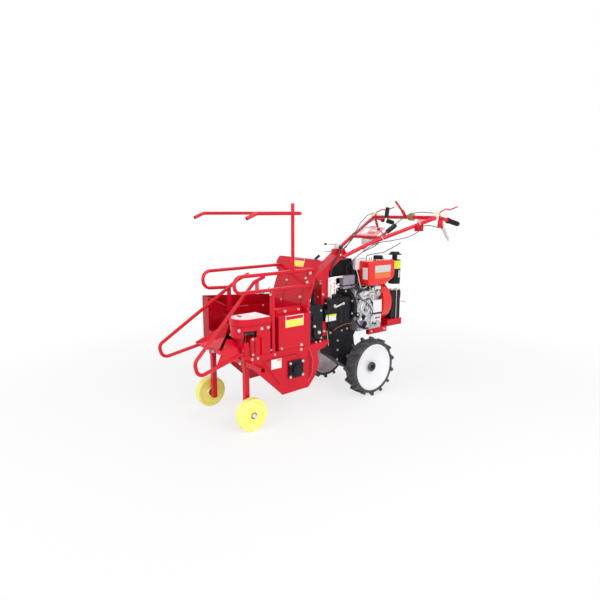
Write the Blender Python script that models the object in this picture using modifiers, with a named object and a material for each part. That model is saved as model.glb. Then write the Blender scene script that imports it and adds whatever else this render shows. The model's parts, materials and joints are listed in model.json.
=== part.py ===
"""Walk-behind single-row corn harvester: a corn header on two front wheels, with a two-wheel
walking tractor behind it. Metres, +Z up, -Y is the way it drives, +X is its left side.

Places are measured from the front axle's line on the ground. at() moves them to the frame's
origin, which lies on the ground under the middle of the machine.
"""

import math

import bmesh
import bpy
from mathutils import Matrix, Quaternion, Vector

for leftover in list(bpy.data.objects):
    bpy.data.objects.remove(leftover, do_unlink=True)

HARVESTER = bpy.data.collections.new("corn_harvester")
CUTTERS = bpy.data.collections.new("cutters")
bpy.context.scene.collection.children.link(HARVESTER)
bpy.context.scene.collection.children.link(CUTTERS)

# Frame and common sizes
FRAME_SHIFT = -0.755
SEAT = 0.0003
SHEET = 0.003
TUBE_R = 0.011

# Running gear
WHEELBASE = 1.001
FRONT_TRACK = 0.512
FRONT_WHEEL_R = 0.100
FRONT_WHEEL_W = 0.050
FRONT_HUB_W = 0.054
STUB_R = 0.008
LEG_INSET = 0.056
LEG_X = FRONT_TRACK / 2 - LEG_INSET
LEG_W = 0.030
LEG_WALL = 0.003
LEG_TOP = 0.530
LEG_FOOT = 0.072
REAR_TRACK = 0.503
TYRE_R = 0.205
TYRE_W = 0.110
CARCASS_R = 0.188
RIM_R = 0.166
DRIVE_SHAFT_R = 0.014
LUG_COUNT = 14
LUG_ANGLE = math.radians(28)

# Header
DECK_Z = 0.434
HOUSING_X = 0.200
ROTOR_Y = 0.371
ROTOR_Z = 0.298
ROTOR_SWING = 0.116
PANEL_X = 0.200
GUARD_X = 0.190
GUARD_TOP_Z = 0.925
GUARD_LOW_Z = 0.823
GUARD_NOSE_Y = -0.061
GUARD_DROP = 0.006
FORK_X = 0.310
FORK_Z = 1.280
ROLL_X = 0.037
ROLL_Z = 0.545
ROLL_R = 0.026

# Walking tractor
CRANK_Z = 0.615
BAR_HALF = 0.320
BAR_Y = 1.607
BAR_Z = 1.247
BAR_TUBE_R = 0.014


def at(x, y, z):
    """A place measured from the front axle, in the frame."""
    return Vector((x, y + FRAME_SHIFT, z))


def finish(name, colour, metallic, roughness):
    """A plain material."""
    material = bpy.data.materials.new(name)
    material.use_nodes = True
    shader = material.node_tree.nodes["Principled BSDF"]
    shader.inputs["Base Color"].default_value = (*colour, 1.0)
    shader.inputs["Metallic"].default_value = metallic
    shader.inputs["Roughness"].default_value = roughness
    return material


RED = (0.64, 0.01, 0.03)
# name: colour, metallic, roughness
FINISHES = {
    "red_paint": (RED, 0.0, 0.35),
    "tank_paint": ((0.80, 0.05, 0.02), 0.0, 0.30),
    "black_paint": ((0.02, 0.02, 0.025), 0.0, 0.45),
    "yellow_nylon": ((0.90, 0.85, 0.12), 0.0, 0.40),
    "white_paint": ((0.86, 0.86, 0.86), 0.0, 0.40),
    "tyre_rubber": ((0.045, 0.048, 0.052), 0.0, 0.85),
    "black_rubber": ((0.02, 0.02, 0.02), 0.0, 0.70),
    "cast_alloy": ((0.55, 0.56, 0.58), 0.9, 0.45),
    "bare_steel": ((0.45, 0.45, 0.46), 0.9, 0.40),
    "grey_plastic": ((0.42, 0.42, 0.45), 0.0, 0.50),
    "black_plastic": ((0.02, 0.02, 0.022), 0.0, 0.45),
}


def place_object(obj, collection):
    collection.objects.link(obj)
    if collection is CUTTERS:
        obj.hide_render = True
        obj.display_type = "WIRE"
    return obj


def new_piece(form, origin, label="piece"):
    """A helper mesh object from a bmesh given in world space, its origin at a place."""
    bmesh.ops.recalc_face_normals(form, faces=form.faces)
    if form.calc_volume(signed=True) < 0:
        bmesh.ops.reverse_faces(form, faces=form.faces)
    mesh = bpy.data.meshes.new(label)
    form.transform(Matrix.Translation(-origin))
    form.to_mesh(mesh)
    form.free()
    obj = bpy.data.objects.new(label, mesh)
    obj.location = origin
    return place_object(obj, CUTTERS)


def block(low, high, spin=None):
    """A box between two corners, turned about its middle by an axis name and an angle."""
    low = Vector(low)
    high = Vector(high)
    middle = at(*((low + high) / 2))
    form = bmesh.new()
    bmesh.ops.create_cube(form, size=1.0)
    form.transform(Matrix.Diagonal((*(high - low), 1.0)))
    if spin:
        form.transform(Matrix.Rotation(spin[1], 4, spin[0]))
    form.transform(Matrix.Translation(middle))
    return new_piece(form, middle)


def rounded(piece, radius, segments=3):
    """Rounds a piece's edges."""
    bevel = piece.modifiers.new("round", "BEVEL")
    bevel.width = radius
    bevel.segments = segments
    bevel.limit_method = "ANGLE"
    bevel.angle_limit = math.radians(40)
    return piece


TURNS = {
    "X": Matrix(((0, 0, 1, 0), (1, 0, 0, 0), (0, 1, 0, 0), (0, 0, 0, 1))),
    "Y": Matrix(((1, 0, 0, 0), (0, 0, -1, 0), (0, 1, 0, 0), (0, 0, 0, 1))),
    "Z": Matrix.Identity(4),
}


def mesh_of_curve(curve, origin, turn):
    """The curve's shape as a helper mesh with welded caps, turned and put at its origin."""
    maker = bpy.data.objects.new("maker", curve)
    HARVESTER.objects.link(maker)
    graph = bpy.context.evaluated_depsgraph_get()
    made = bpy.data.meshes.new_from_object(maker.evaluated_get(graph))
    form = bmesh.new()
    form.from_mesh(made)
    bpy.data.objects.remove(maker, do_unlink=True)
    bpy.data.meshes.remove(made)
    bmesh.ops.remove_doubles(form, verts=form.verts, dist=0.00001)
    form.transform(Matrix.Translation(origin) @ turn)
    return new_piece(form, origin)


def plate(outlines, thickness, place, facing):
    """Closed outlines, the first with the others as holes, extruded from a place along its axis.

    Facing X takes outlines in (y, z), facing Y in (x, z), facing Z in (x, y), all from place.
    """
    curve = bpy.data.curves.new("plate", "CURVE")
    curve.dimensions = "2D"
    curve.fill_mode = "BOTH"
    curve.extrude = thickness / 2
    for outline in outlines:
        spline = curve.splines.new("POLY")
        spline.points.add(len(outline) - 1)
        for point, (u, v) in zip(spline.points, outline):
            point.co = (u, v, 0.0, 1.0)
        spline.use_cyclic_u = True
    return mesh_of_curve(curve, at(*place), TURNS[facing])


def bent_strip(line, thickness):
    """The outline of a bent sheet seen edge on, its first side along the line."""
    points = [Vector(p) for p in line]
    normals = []
    for i, point in enumerate(points):
        before = points[max(i - 1, 0)]
        after = points[min(i + 1, len(points) - 1)]
        lead = (point - before).normalized() if i else (after - point).normalized()
        trail = (after - point).normalized() if i < len(points) - 1 else lead
        mean = (lead + trail).normalized()
        across = Vector((-mean.y, mean.x))
        stretch = 1.0 / max(0.3, across.dot(Vector((-lead.y, lead.x))))
        normals.append(across * stretch * thickness)
    far_side = [point + shift for point, shift in zip(points, normals)]
    return [tuple(p) for p in points] + [tuple(p) for p in reversed(far_side)]


def arc(cx, cy, radius, start, end, count):
    """Points of an arc, angles in degrees."""
    angles = [math.radians(start + (end - start) * i / (count - 1)) for i in range(count)]
    return [(cx + radius * math.cos(a), cy + radius * math.sin(a)) for a in angles]


def disc(radius, length, place, axis, sides=24, tip_radius=None):
    """A round bar centred on a place, along an axis name or a direction."""
    form = bmesh.new()
    bmesh.ops.create_cone(
        form,
        cap_ends=True,
        segments=sides,
        radius1=radius,
        radius2=radius if tip_radius is None else tip_radius,
        depth=length,
    )
    way = {"X": (1, 0, 0), "Y": (0, 1, 0), "Z": (0, 0, 1)}[axis] if isinstance(axis, str) else axis
    form.transform(Vector((0, 0, 1)).rotation_difference(Vector(way)).to_matrix().to_4x4())
    form.transform(Matrix.Translation(at(*place)))
    return new_piece(form, at(*place))


def lathe(profile, steps, place, axis):
    """A ring or a turned body from a closed profile of (radius, height), spun about its axis."""
    mesh = bpy.data.meshes.new("profile")
    count = len(profile)
    points = [(radius, 0.0, height) for radius, height in profile]
    mesh.from_pydata(points, [(i, (i + 1) % count) for i in range(count)], [])
    obj = bpy.data.objects.new("turned", mesh)
    obj.location = at(*place)
    if axis == "X":
        obj.rotation_euler = (0.0, math.pi / 2, 0.0)
    if axis == "Y":
        obj.rotation_euler = (-math.pi / 2, 0.0, 0.0)
    place_object(obj, CUTTERS)
    screw = obj.modifiers.new("spin", "SCREW")
    screw.steps = steps
    screw.render_steps = steps
    screw.use_merge_vertices = True
    screw.merge_threshold = 0.00001
    return obj


def rounded_path(points, radius, steps):
    """A line of places with each corner turned into an arc."""
    places = [Vector(p) for p in points]
    path = [places[0]]
    for before, corner, after in zip(places, places[1:], places[2:]):
        back = (before - corner).normalized()
        ahead = (after - corner).normalized()
        angle = back.angle(ahead)
        reach = radius / math.tan(angle / 2)
        centre = corner + (back + ahead).normalized() * (radius / math.sin(angle / 2))
        first = corner + back * reach - centre
        axis = first.cross(corner + ahead * reach - centre)
        for i in range(steps + 1):
            turn = Quaternion(axis, (math.pi - angle) * i / steps)
            path.append(centre + turn @ first)
    path.append(places[-1])
    return path


def pipe(points, radius, bend=0.05, steps=4, roundness=3):
    """A round tube's solid along places joined by arcs."""
    path = rounded_path(points, bend, steps)
    curve = bpy.data.curves.new("pipe", "CURVE")
    curve.dimensions = "3D"
    curve.bevel_depth = radius
    curve.bevel_resolution = roundness
    curve.use_fill_caps = True
    spline = curve.splines.new("POLY")
    spline.points.add(len(path) - 1)
    for point, spot in zip(spline.points, path):
        point.co = (*(spot - path[0]), 1.0)
    return mesh_of_curve(curve, at(*path[0]), Matrix.Identity(4))


def bar_between(start, end, width, thickness, side):
    """A flat bar between two places, its width along a side direction."""
    first = Vector(start)
    last = Vector(end)
    up = (last - first).normalized()
    across = Vector(side)
    across = (across - up * across.dot(up)).normalized()
    depth = up.cross(across)
    form = bmesh.new()
    bmesh.ops.create_cube(form, size=1.0)
    form.transform(Matrix.Diagonal((width, thickness, (last - first).length, 1.0)))
    turn = Matrix((across, depth, up)).transposed().to_4x4()
    middle = at(*((first + last) / 2))
    form.transform(Matrix.Translation(middle) @ turn)
    return new_piece(form, middle)


def rod(start, end, radius, sides=12):
    """A round bar between two places."""
    first = Vector(start)
    last = Vector(end)
    return disc(radius, (last - first).length, (first + last) / 2, last - first, sides)


def sheet(corners, faces, thickness):
    """A folded sheet through its corners, half its thickness on each side."""
    form = bmesh.new()
    verts = [form.verts.new(at(*corner)) for corner in corners]
    for face in faces:
        form.faces.new([verts[i] for i in face])
    piece = new_piece(form, at(*corners[0]))
    thick = piece.modifiers.new("thick", "SOLIDIFY")
    thick.thickness = thickness
    thick.offset = 0.0
    thick.use_even_offset = True
    return piece


def cut_from(piece, cutters):
    """Takes the cutters out of a piece before others join it."""
    for cutter in cutters:
        boolean = piece.modifiers.new("cut", "BOOLEAN")
        boolean.operation = "DIFFERENCE"
        boolean.solver = "EXACT"
        boolean.object = cutter
    return piece


def part(name, material, pieces, cuts=(), origin=None):
    """A named part: the first piece joined with the others, less the cutters."""
    base = pieces[0]
    for kind, others in (("UNION", pieces[1:]), ("DIFFERENCE", cuts)):
        for other in others:
            boolean = base.modifiers.new(kind.lower(), "BOOLEAN")
            boolean.operation = kind
            boolean.solver = "EXACT"
            boolean.object = other
    CUTTERS.objects.unlink(base)
    HARVESTER.objects.link(base)
    base.name = name
    base.data.name = name
    base.hide_render = False
    base.display_type = "TEXTURED"
    base.data.materials.clear()
    base.data.materials.append(MATERIALS[material])
    if origin is not None:
        shift = base.location - origin
        base.data.transform(Matrix.Translation(shift))
        base.location = origin
    return base


MATERIALS = {name: finish(name, *values) for name, values in FINISHES.items()}

SIDES = (("left", 1), ("right", -1))


def front_gear(side, sign):
    """A yellow front wheel and the square leg with its stub axle."""
    wheel_x = FRONT_TRACK / 2
    hub = FRONT_HUB_W / 2
    half = FRONT_WHEEL_W / 2
    bore = STUB_R + 0.0005
    upper = [(bore, hub), (0.028, hub), (0.031, 0.018), (0.078, 0.018), (0.083, half)]
    upper += [(FRONT_WHEEL_R - 0.004, half), (FRONT_WHEEL_R, half - 0.004)]
    lower = [(radius, -height) for radius, height in reversed(upper)]
    wheel = lathe(upper + lower, 36, (sign * wheel_x, 0.0, FRONT_WHEEL_R), "X")
    part(f"front_wheel_{side}", "yellow_nylon", [wheel])

    half_leg = LEG_W / 2
    hollow = half_leg - LEG_WALL
    square = [(-half_leg, -half_leg), (half_leg, -half_leg), (half_leg, half_leg), (-half_leg, half_leg)]
    inner = [(-hollow, -hollow), (hollow, -hollow), (hollow, hollow), (-hollow, hollow)]
    middle_z = (LEG_TOP + LEG_FOOT) / 2
    leg = plate([square, inner], LEG_TOP - LEG_FOOT, (sign * LEG_X, 0.0, middle_z), "Z")
    stub_in = LEG_X - half_leg + 0.001
    stub_out = wheel_x + hub + 0.012
    stub = disc(STUB_R, stub_out - stub_in, (sign * (stub_in + stub_out) / 2, 0.0, FRONT_WHEEL_R), "X", 16)
    collar_in = LEG_X + half_leg - 0.001
    collar_out = wheel_x - hub - SEAT
    collar_x = sign * (collar_in + collar_out) / 2
    collar = disc(0.013, collar_out - collar_in, (collar_x, 0.0, FRONT_WHEEL_R), "X", 16)
    nut_in = wheel_x + hub + SEAT
    nut = disc(0.0125, 0.010, (sign * (nut_in + 0.005), 0.0, FRONT_WHEEL_R), "X", 6)
    part(f"front_leg_{side}", "red_paint", [leg, stub, collar, nut])


def front_beam():
    """The square tube across, open at both ends, with the sleeves that hold the legs."""
    half = LEG_W / 2
    hollow = half - LEG_WALL
    beam_z = 0.405
    hole = half + SEAT
    sleeve = hole + 0.004
    tube = block((-0.385, -half, beam_z - half), (0.385, half, beam_z + half))
    tie = block((-0.150, half - 0.001, beam_z - 0.012), (0.150, 0.029 - SEAT, beam_z + 0.012))
    sleeves = []
    cuts = [block((-0.400, -hollow, beam_z - hollow), (0.400, hollow, beam_z + hollow))]
    for sign in (1, -1):
        x = sign * LEG_X
        sleeves.append(block((x - sleeve, -sleeve, 0.372), (x + sleeve, sleeve, 0.448)))
        cuts.append(block((x - hole, -hole, 0.300), (x + hole, hole, 0.500)))
    part("front_beam", "red_paint", [tube, tie, *sleeves], cuts)


def drive_wheel(side, sign):
    """A lugged tyre, and its white dished wheel with hub and shaft."""
    wheel_x = sign * REAR_TRACK / 2
    centre = (wheel_x, WHEELBASE, TYRE_R)
    half = TYRE_W / 2
    rim = RIM_R + SEAT
    section = [(rim, half - 0.010), (rim + 0.006, half - 0.003), (CARCASS_R - 0.004, half - 0.006)]
    section += [(CARCASS_R, half - 0.016)]
    section += [(radius, -height) for radius, height in reversed(section)]
    tyre = lathe(section, 48, centre, "X")
    lugs = []
    lug_low = CARCASS_R - 0.006
    lug_high = TYRE_R
    for row in (1, -1):
        for i in range(LUG_COUNT):
            turn = 2 * math.pi * (i + (0.5 if row < 0 else 0.0)) / LUG_COUNT
            form = bmesh.new()
            bmesh.ops.create_cube(form, size=1.0)
            form.transform(Matrix.Diagonal((0.056, 0.020, lug_high - lug_low, 1.0)))
            form.transform(Matrix.Rotation(row * LUG_ANGLE, 4, "Z"))
            form.transform(Matrix.Translation((row * (half - 0.0285), 0.0, (lug_high + lug_low) / 2)))
            form.transform(Matrix.Rotation(turn, 4, "X"))
            form.transform(Matrix.Translation(at(*centre)))
            lugs.append(new_piece(form, at(*centre)))
    part(f"drive_tyre_{side}", "tyre_rubber", [tyre, *lugs])

    face = half - 0.010
    dish = [(DRIVE_SHAFT_R, 0.004), (0.052, 0.004), (0.145, face - 0.012), (0.156, face), (RIM_R, face)]
    dish += [(RIM_R, -face), (RIM_R - 0.004, -face), (RIM_R - 0.004, face - 0.012)]
    dish += [(0.148, face - 0.018), (0.054, -0.002), (0.030, -0.003), (0.030, -0.068), (DRIVE_SHAFT_R, -0.068)]
    way = [(radius, sign * height) for radius, height in dish]
    if sign < 0:
        way.reverse()
    wheel = lathe(way, 48, centre, "X")
    shaft = disc(DRIVE_SHAFT_R + 0.001, 0.150, (wheel_x - sign * 0.058, WHEELBASE, TYRE_R), "X")
    cap = disc(0.022, 0.020, (wheel_x + sign * 0.010, WHEELBASE, TYRE_R), "X")
    part(f"drive_wheel_{side}", "white_paint", [wheel, shaft, cap])


def chopper():
    """The stalk chopper's open-bottomed housing, its knife rotor and its bearing covers."""
    side = [(0.030, DECK_Z - 0.0004), (0.029, 0.374), (0.270, 0.142), (0.483, 0.148), (0.540, 0.215)]
    side += [(0.574, 0.296), (0.559, 0.380), (0.625, 0.396), (0.666, DECK_Z - 0.0004)]
    bearing = arc(ROTOR_Y, ROTOR_Z, 0.026, 0, 345, 24)
    cheeks = []
    for sign in (1, -1):
        middle = sign * (HOUSING_X - SHEET / 2)
        cheeks.append(plate([side, bearing], SHEET, (middle, 0.0, 0.0), "X"))
    deck_x = HOUSING_X - 0.0005
    deck = block((-deck_x, 0.0305, DECK_Z - SHEET), (deck_x, 0.6655, DECK_Z))
    fold = [(0.243, 0.209), (0.119, 0.380), (0.135, 0.397), (0.368, 0.402), (0.402, 0.385)]
    for sign in (1, -1):
        cheeks.append(plate([bent_strip(fold, 0.007)], 0.004, (sign * HOUSING_X, 0.0, 0.0), "X"))
    wrap_line = [(0.484, 0.1495), (0.540, 0.215), (0.574, 0.296), (0.559, 0.380), (0.559, 0.433)]
    wrap = plate([bent_strip(wrap_line, SHEET)], 2 * HOUSING_X - 0.001, (0.0, 0.0, 0.0), "X")
    lip = block((-HOUSING_X + 0.001, 0.029, 0.374), (HOUSING_X - 0.001, 0.032, DECK_Z - 0.001))
    part("chopper_housing", "red_paint", [deck, *cheeks, wrap, lip])

    drum = disc(0.034, 0.350, (0.0, ROTOR_Y, ROTOR_Z), "X")
    shaft_end = HOUSING_X + 0.012
    shaft = disc(0.018, 2 * shaft_end, (0.0, ROTOR_Y, ROTOR_Z), "X")
    knives = []
    for i in range(7):
        for k in range(2):
            angle = math.pi * k + math.radians(51) * i
            form = bmesh.new()
            bmesh.ops.create_cube(form, size=1.0)
            form.transform(Matrix.Diagonal((0.008, 0.034, ROTOR_SWING - 0.020, 1.0)))
            form.transform(Matrix.Translation((0.0, 0.0, (ROTOR_SWING + 0.020) / 2)))
            form.transform(Matrix.Rotation(angle, 4, "X"))
            form.transform(Matrix.Translation(at(-0.150 + 0.050 * i, ROTOR_Y, ROTOR_Z)))
            knives.append(new_piece(form, at(0.0, ROTOR_Y, ROTOR_Z)))
    part("chopper_rotor", "bare_steel", [drum, shaft, *knives])

    for name, sign in SIDES:
        inner = HOUSING_X + SEAT
        outer = inner + 0.016
        xs = sorted((sign * inner, sign * outer))
        low = (xs[0], ROTOR_Y - 0.057, ROTOR_Z - 0.056)
        base = rounded(block(low, (xs[1], ROTOR_Y + 0.057, ROTOR_Z + 0.056)), 0.004, 2)
        dome = disc(0.034, 0.020, (sign * (outer + 0.008), ROTOR_Y, ROTOR_Z), "X")
        socket = disc(0.0185, 0.026, (sign * (inner + 0.002), ROTOR_Y, ROTOR_Z), "X")
        part(f"bearing_cover_{name}", "black_paint", [base, dome], [socket])


def dividers():
    """The bent gathering tubes, their sheet snouts and the upper guard loops."""
    path = [(0.090, 0.215, 0.893), (0.090, 0.140, 0.865), (0.240, -0.350, 0.478)]
    path += [(0.240, -0.330, 0.393), (LEG_X, -LEG_W / 2 - 0.0034, 0.463)]
    for side, sign in SIDES:
        pieces = [pipe([(sign * x, y, z) for x, y, z in path], TUBE_R, 0.040)]
        if sign > 0:
            pieces.append(bar_between((0.092, 0.158, 0.868), (0.1720, 0.107, 0.8305), 0.024, 0.004, (0, 1, 0)))
        part(f"gather_tube_{side}", "red_paint", pieces)

    # x, y, z of the left plate, from the tube's nose over the top and back along the tube
    left = [(LEG_X + 0.0162, -0.2028, 0.4303), (0.115, -0.075, 0.545)]
    left += [(0.115, -0.012, 0.5275), (LEG_X - 0.0056, -0.0328, 0.4685)]
    part("snout_left", "red_paint", [sheet(left, [(0, 1, 3), (1, 2, 3)], SHEET)])
    # x, y, z of the right one: its tip, the top at the back, the fold at the back, the foot, the fold's tip
    right = [(-LEG_X - 0.005, -0.122, 0.4700), (-0.080, 0.057, 0.597), (-0.080, 0.026, 0.5035)]
    right += [(-0.080, -0.022, 0.4285), (-LEG_X - 0.009, -0.113, 0.4540)]
    part("snout_right", "red_paint", [sheet(right, [(0, 1, 2, 4), (4, 2, 3)], SHEET)])

    near = [(GUARD_X, 0.5415, GUARD_TOP_Z), (GUARD_X, GUARD_NOSE_Y, GUARD_TOP_Z - GUARD_DROP)]
    near += [(GUARD_X, GUARD_NOSE_Y, GUARD_LOW_Z), (GUARD_X, 0.5050, GUARD_LOW_Z)]
    part("guard_left", "red_paint", [pipe(near, TUBE_R, 0.046, 6)])
    far = [(-GUARD_X, 0.5415, GUARD_TOP_Z), (-GUARD_X, GUARD_NOSE_Y, GUARD_TOP_Z - GUARD_DROP)]
    far += [(-GUARD_X, GUARD_NOSE_Y, GUARD_LOW_Z - 0.010), (-GUARD_X, 0.1330, GUARD_LOW_Z - 0.020)]
    strap = block((-0.205, 0.118, 0.645), (-0.199, 0.146, 0.806))
    foot = block((-0.2332, 0.119, 0.645), (-0.200, 0.145, 0.651))
    part("guard_right", "red_paint", [pipe(far, TUBE_R, 0.050, 6), strap, foot])


def stalk_fork():
    """The U-shaped fork that leans the stalks, on its post above the left guard."""
    tine = [(FORK_X, -0.045, FORK_Z - 0.028), (FORK_X, 0.020, FORK_Z), (FORK_X, 0.350, FORK_Z)]
    path = tine + [(-x, y, z) for x, y, z in reversed(tine)]
    fork = pipe(path, TUBE_R, 0.045)
    post_y = 0.362
    foot_z = GUARD_TOP_Z - GUARD_DROP * (0.5415 - post_y) / (0.5415 - GUARD_NOSE_Y) + TUBE_R + SEAT
    post = disc(TUBE_R, 1.340 - foot_z, (GUARD_X, post_y, (1.340 + foot_z) / 2), "Z", 12)
    bores = []
    for sign in (1, -1):
        way = Vector((0.0, 0.065, 0.028))
        bores.append(disc(TUBE_R - 0.002, 0.060, (sign * FORK_X, -0.045, FORK_Z - 0.028), way, 12))
    part("stalk_fork", "red_paint", [fork, post], bores)


def gathering_unit():
    """The casing, the round-nosed cover and the lugged chain on the left of the row."""
    nose = (0.115, 0.045)

    def nose_outline(reach):
        front = arc(nose[0], nose[1], 0.085 + reach, 180, 360, 13)
        return front + [(nose[0] + 0.085 + reach, 0.186 + reach), (nose[0] - 0.085 - reach, 0.186 + reach)]

    low = DECK_Z + SEAT
    top = 0.600
    wall = plate([nose_outline(-0.0033), nose_outline(-0.0033 - SHEET)], top - low, (0, 0, (top + low) / 2), "Z")
    mouth = block((-0.050, -0.090, 0.400), (0.240, 0.030, 0.548))
    window = block((0.150, 0.000, 0.500), (0.240, 0.085, 0.588))
    row = block((-0.050, 0.000, 0.400), (0.085, 0.300, 0.700))
    guide = block((0.1962, 0.036, low), (0.203, 0.111, 0.550))
    guide_fold = block((0.2025, 0.107, low), (0.216, 0.111, 0.545))
    slot = block((0.190, 0.062, 0.455), (0.210, 0.069, 0.530))
    cut_from(wall, [mouth, window, row])
    part("gathering_casing", "red_paint", [wall, guide, guide_fold], [slot])

    lid_low = 0.590
    lid_top = 0.663
    shell = plate([nose_outline(0.0)], lid_top - lid_low, (0, 0, (lid_top + lid_low) / 2), "Z")
    inner = plate([nose_outline(-SHEET)], lid_top - lid_low, (0, 0, (lid_top + lid_low) / 2 - SHEET), "Z")
    part("drum_cover", "red_paint", [shell], [inner])

    chain_x = 0.134
    ends = (0.030, 0.110)
    chain_z = 0.572

    def race(radius):
        return arc(chain_x, ends[0], radius, 180, 360, 13) + arc(chain_x, ends[1], radius, 0, 180, 13)

    chain = plate([race(0.045), race(0.037)], 0.014, (0.0, 0.0, chain_z), "Z")
    others = []
    for y in ends:
        others.append(disc(0.0375, 0.004, (chain_x, y, chain_z), "Z", 20))
        others.append(disc(0.009, 0.585 - low, (chain_x, y, (0.585 + low) / 2), "Z", 12))
    # x, y, angle of each lug's root on the chain
    roots = [(chain_x, ends[0], angle) for angle in (205, 245, 285, 325)]
    roots += [(chain_x, ends[1], angle) for angle in (25, 65, 105, 145)]
    roots += [(chain_x, y, angle) for angle in (0, 180) for y in (0.050, 0.090)]
    for x, y, angle in roots:
        form = bmesh.new()
        bmesh.ops.create_cube(form, size=1.0)
        form.transform(Matrix.Diagonal((0.010, 0.012, 0.009, 1.0)))
        form.transform(Matrix.Translation((0.0455, 0.0, 0.0)))
        form.transform(Matrix.Rotation(math.radians(angle), 4, "Z"))
        form.transform(Matrix.Translation(at(x, y, chain_z)))
        others.append(new_piece(form, at(x, y, chain_z)))
    part("gathering_chain", "bare_steel", [chain, *others])


def ear_box():
    """The tall open box on the right side."""
    near_x = -0.235
    far_x = -0.310
    base = 0.450
    back_y = 0.530
    seat = DECK_Z + SEAT
    near = [(-0.008, base), (back_y, base), (back_y, 0.654), (0.151, 0.660), (0.052, 0.715), (-0.008, 0.746)]
    far = [(-0.008, base), (back_y, base), (back_y, 0.705), (-0.008, 0.746)]
    near_wall = plate([near], SHEET, (near_x, 0.0, 0.0), "X")
    far_wall = plate([far], SHEET, (far_x, 0.0, 0.0), "X")
    front = block((far_x, -0.007, base + 0.0005), (near_x, -0.004, 0.742))
    back = block((far_x, back_y - 0.004, base + 0.0005), (near_x, back_y - 0.001, 0.652))
    floor = block((far_x, -0.006, base + 0.001), (near_x, back_y - 0.002, base + 0.001 + SHEET))
    riser = block((near_x - 0.001, 0.120, seat), (near_x + 0.001, 0.420, base + 0.010))
    tab = block((near_x - 0.0005, 0.122, seat + 0.0002), (-0.150, 0.418, seat + SHEET))
    swage_line = [(0.150, 0.650), (0.152, 0.530), (0.140, 0.520), (0.030, 0.523), (0.020, 0.535), (0.020, 0.725)]
    swage = plate([bent_strip(swage_line, 0.006)], 0.004, (near_x + 0.0015, 0.0, 0.0), "X")
    part("ear_box", "red_paint", [near_wall, far_wall, front, back, floor, riser, tab, swage])


def snapping_rolls():
    """Two fluted rolls side by side under the row, with their bearing plates."""
    front_y = 0.110
    back_y = 0.470
    for side, sign in SIDES:
        x = sign * ROLL_X
        core = disc(ROLL_R, back_y - front_y, (x, (front_y + back_y) / 2, ROLL_Z), "Y")
        shaft = disc(0.010, back_y - front_y + 0.060, (x, (front_y + back_y) / 2, ROLL_Z), "Y")
        ribs = []
        for k in range(4):
            form = bmesh.new()
            bmesh.ops.create_cube(form, size=1.0)
            form.transform(Matrix.Diagonal((0.006, back_y - front_y - 0.010, 0.010, 1.0)))
            form.transform(Matrix.Translation((0.0, 0.0, ROLL_R)))
            form.transform(Matrix.Rotation(math.pi / 2 * k, 4, "Y"))
            form.transform(Matrix.Translation(at(x, (front_y + back_y) / 2, ROLL_Z)))
            ribs.append(new_piece(form, at(x, 0.0, ROLL_Z)))
        part(f"snapping_roll_{side}", "bare_steel", [core, shaft, *ribs])
    for name, y in (("front", front_y - 0.022), ("rear", back_y + 0.022)):
        holder = block((-0.078, y - 0.006, DECK_Z + SEAT), (0.078, y + 0.006, ROLL_Z + 0.030))
        holes = [disc(0.0108, 0.040, (sign * ROLL_X, y, ROLL_Z), "Y") for sign in (1, -1)]
        part(f"roll_bearing_{name}", "red_paint", [holder], holes)


def header_body():
    """The corner post, the belt cover, the gearbox, the deflector panel and the hitch."""
    low = DECK_Z + SEAT
    top = GUARD_LOW_Z - TUBE_R - SEAT
    web = block((0.176, 0.194, low), (0.200, 0.197, top))
    flange = block((0.197, 0.194, low), (0.200, 0.216, top))
    part("corner_post", "red_paint", [flange, web])

    outer = rounded(block((0.095, 0.240, low), (0.205, 0.495, 0.652)), 0.006, 2)
    upper = block((0.100, 0.262, 0.640), (0.150, 0.465, 0.686))
    part("belt_cover", "red_paint", [outer, upper])

    body = rounded(block((-0.060, 0.503, low), (0.160, 0.640, 0.678)), 0.008, 2)
    pulley = disc(0.042, 0.020, (0.1672, 0.586, 0.498), "X", 24)
    cap = disc(0.020, 0.016, (0.165, 0.560, 0.600), "X", 16)
    part("header_gearbox", "black_paint", [body, pulley, cap])

    # y, z of the panel's front side, from its foot to the hood's lip
    line = [(0.469, 0.655), (0.477, 0.733), (0.546, 0.924), (0.568, 0.985), (0.600, 0.972)]
    line.reverse()
    panel = plate([bent_strip(line, SHEET)], 2 * PANEL_X, (0.0, 0.0, 0.0), "X")
    bars = []
    for sign in (1, -1):
        bars.append(plate([bent_strip(line, 0.016)], SHEET, (sign * (PANEL_X - SHEET / 2), 0.0, 0.0), "X"))
        bars.append(block((sign * 0.175 - 0.010, 0.4955, low), (sign * 0.175 + 0.010, 0.5022, 0.783)))
    # x, z of the hood's ear on the right side, in the panel's own slope
    ear_line = [(-0.195, 0.885), (-0.227, 0.892), (-0.2535, 0.945), (-0.233, 0.983), (-0.195, 0.983)]
    slope = (0.568 - 0.546) / (0.985 - 0.924)
    corners = [(x, 0.5476 + (z - 0.924) * slope, z) for x, z in ear_line]
    ear = sheet(corners, [(0, 1, 2, 3, 4)], 0.002)
    part("deflector_panel", "red_paint", [panel, ear, *bars])

    cheeks = []
    for sign in (1, -1):
        cheeks.append(block((sign * 0.065 - 0.004, 0.6403, low), (sign * 0.065 + 0.004, 0.7497, 0.540)))
    tie = block((-0.080, 0.660, low), (0.080, 0.740, low + 0.008))
    part("hitch_frame", "red_paint", [tie, *cheeks])


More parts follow.
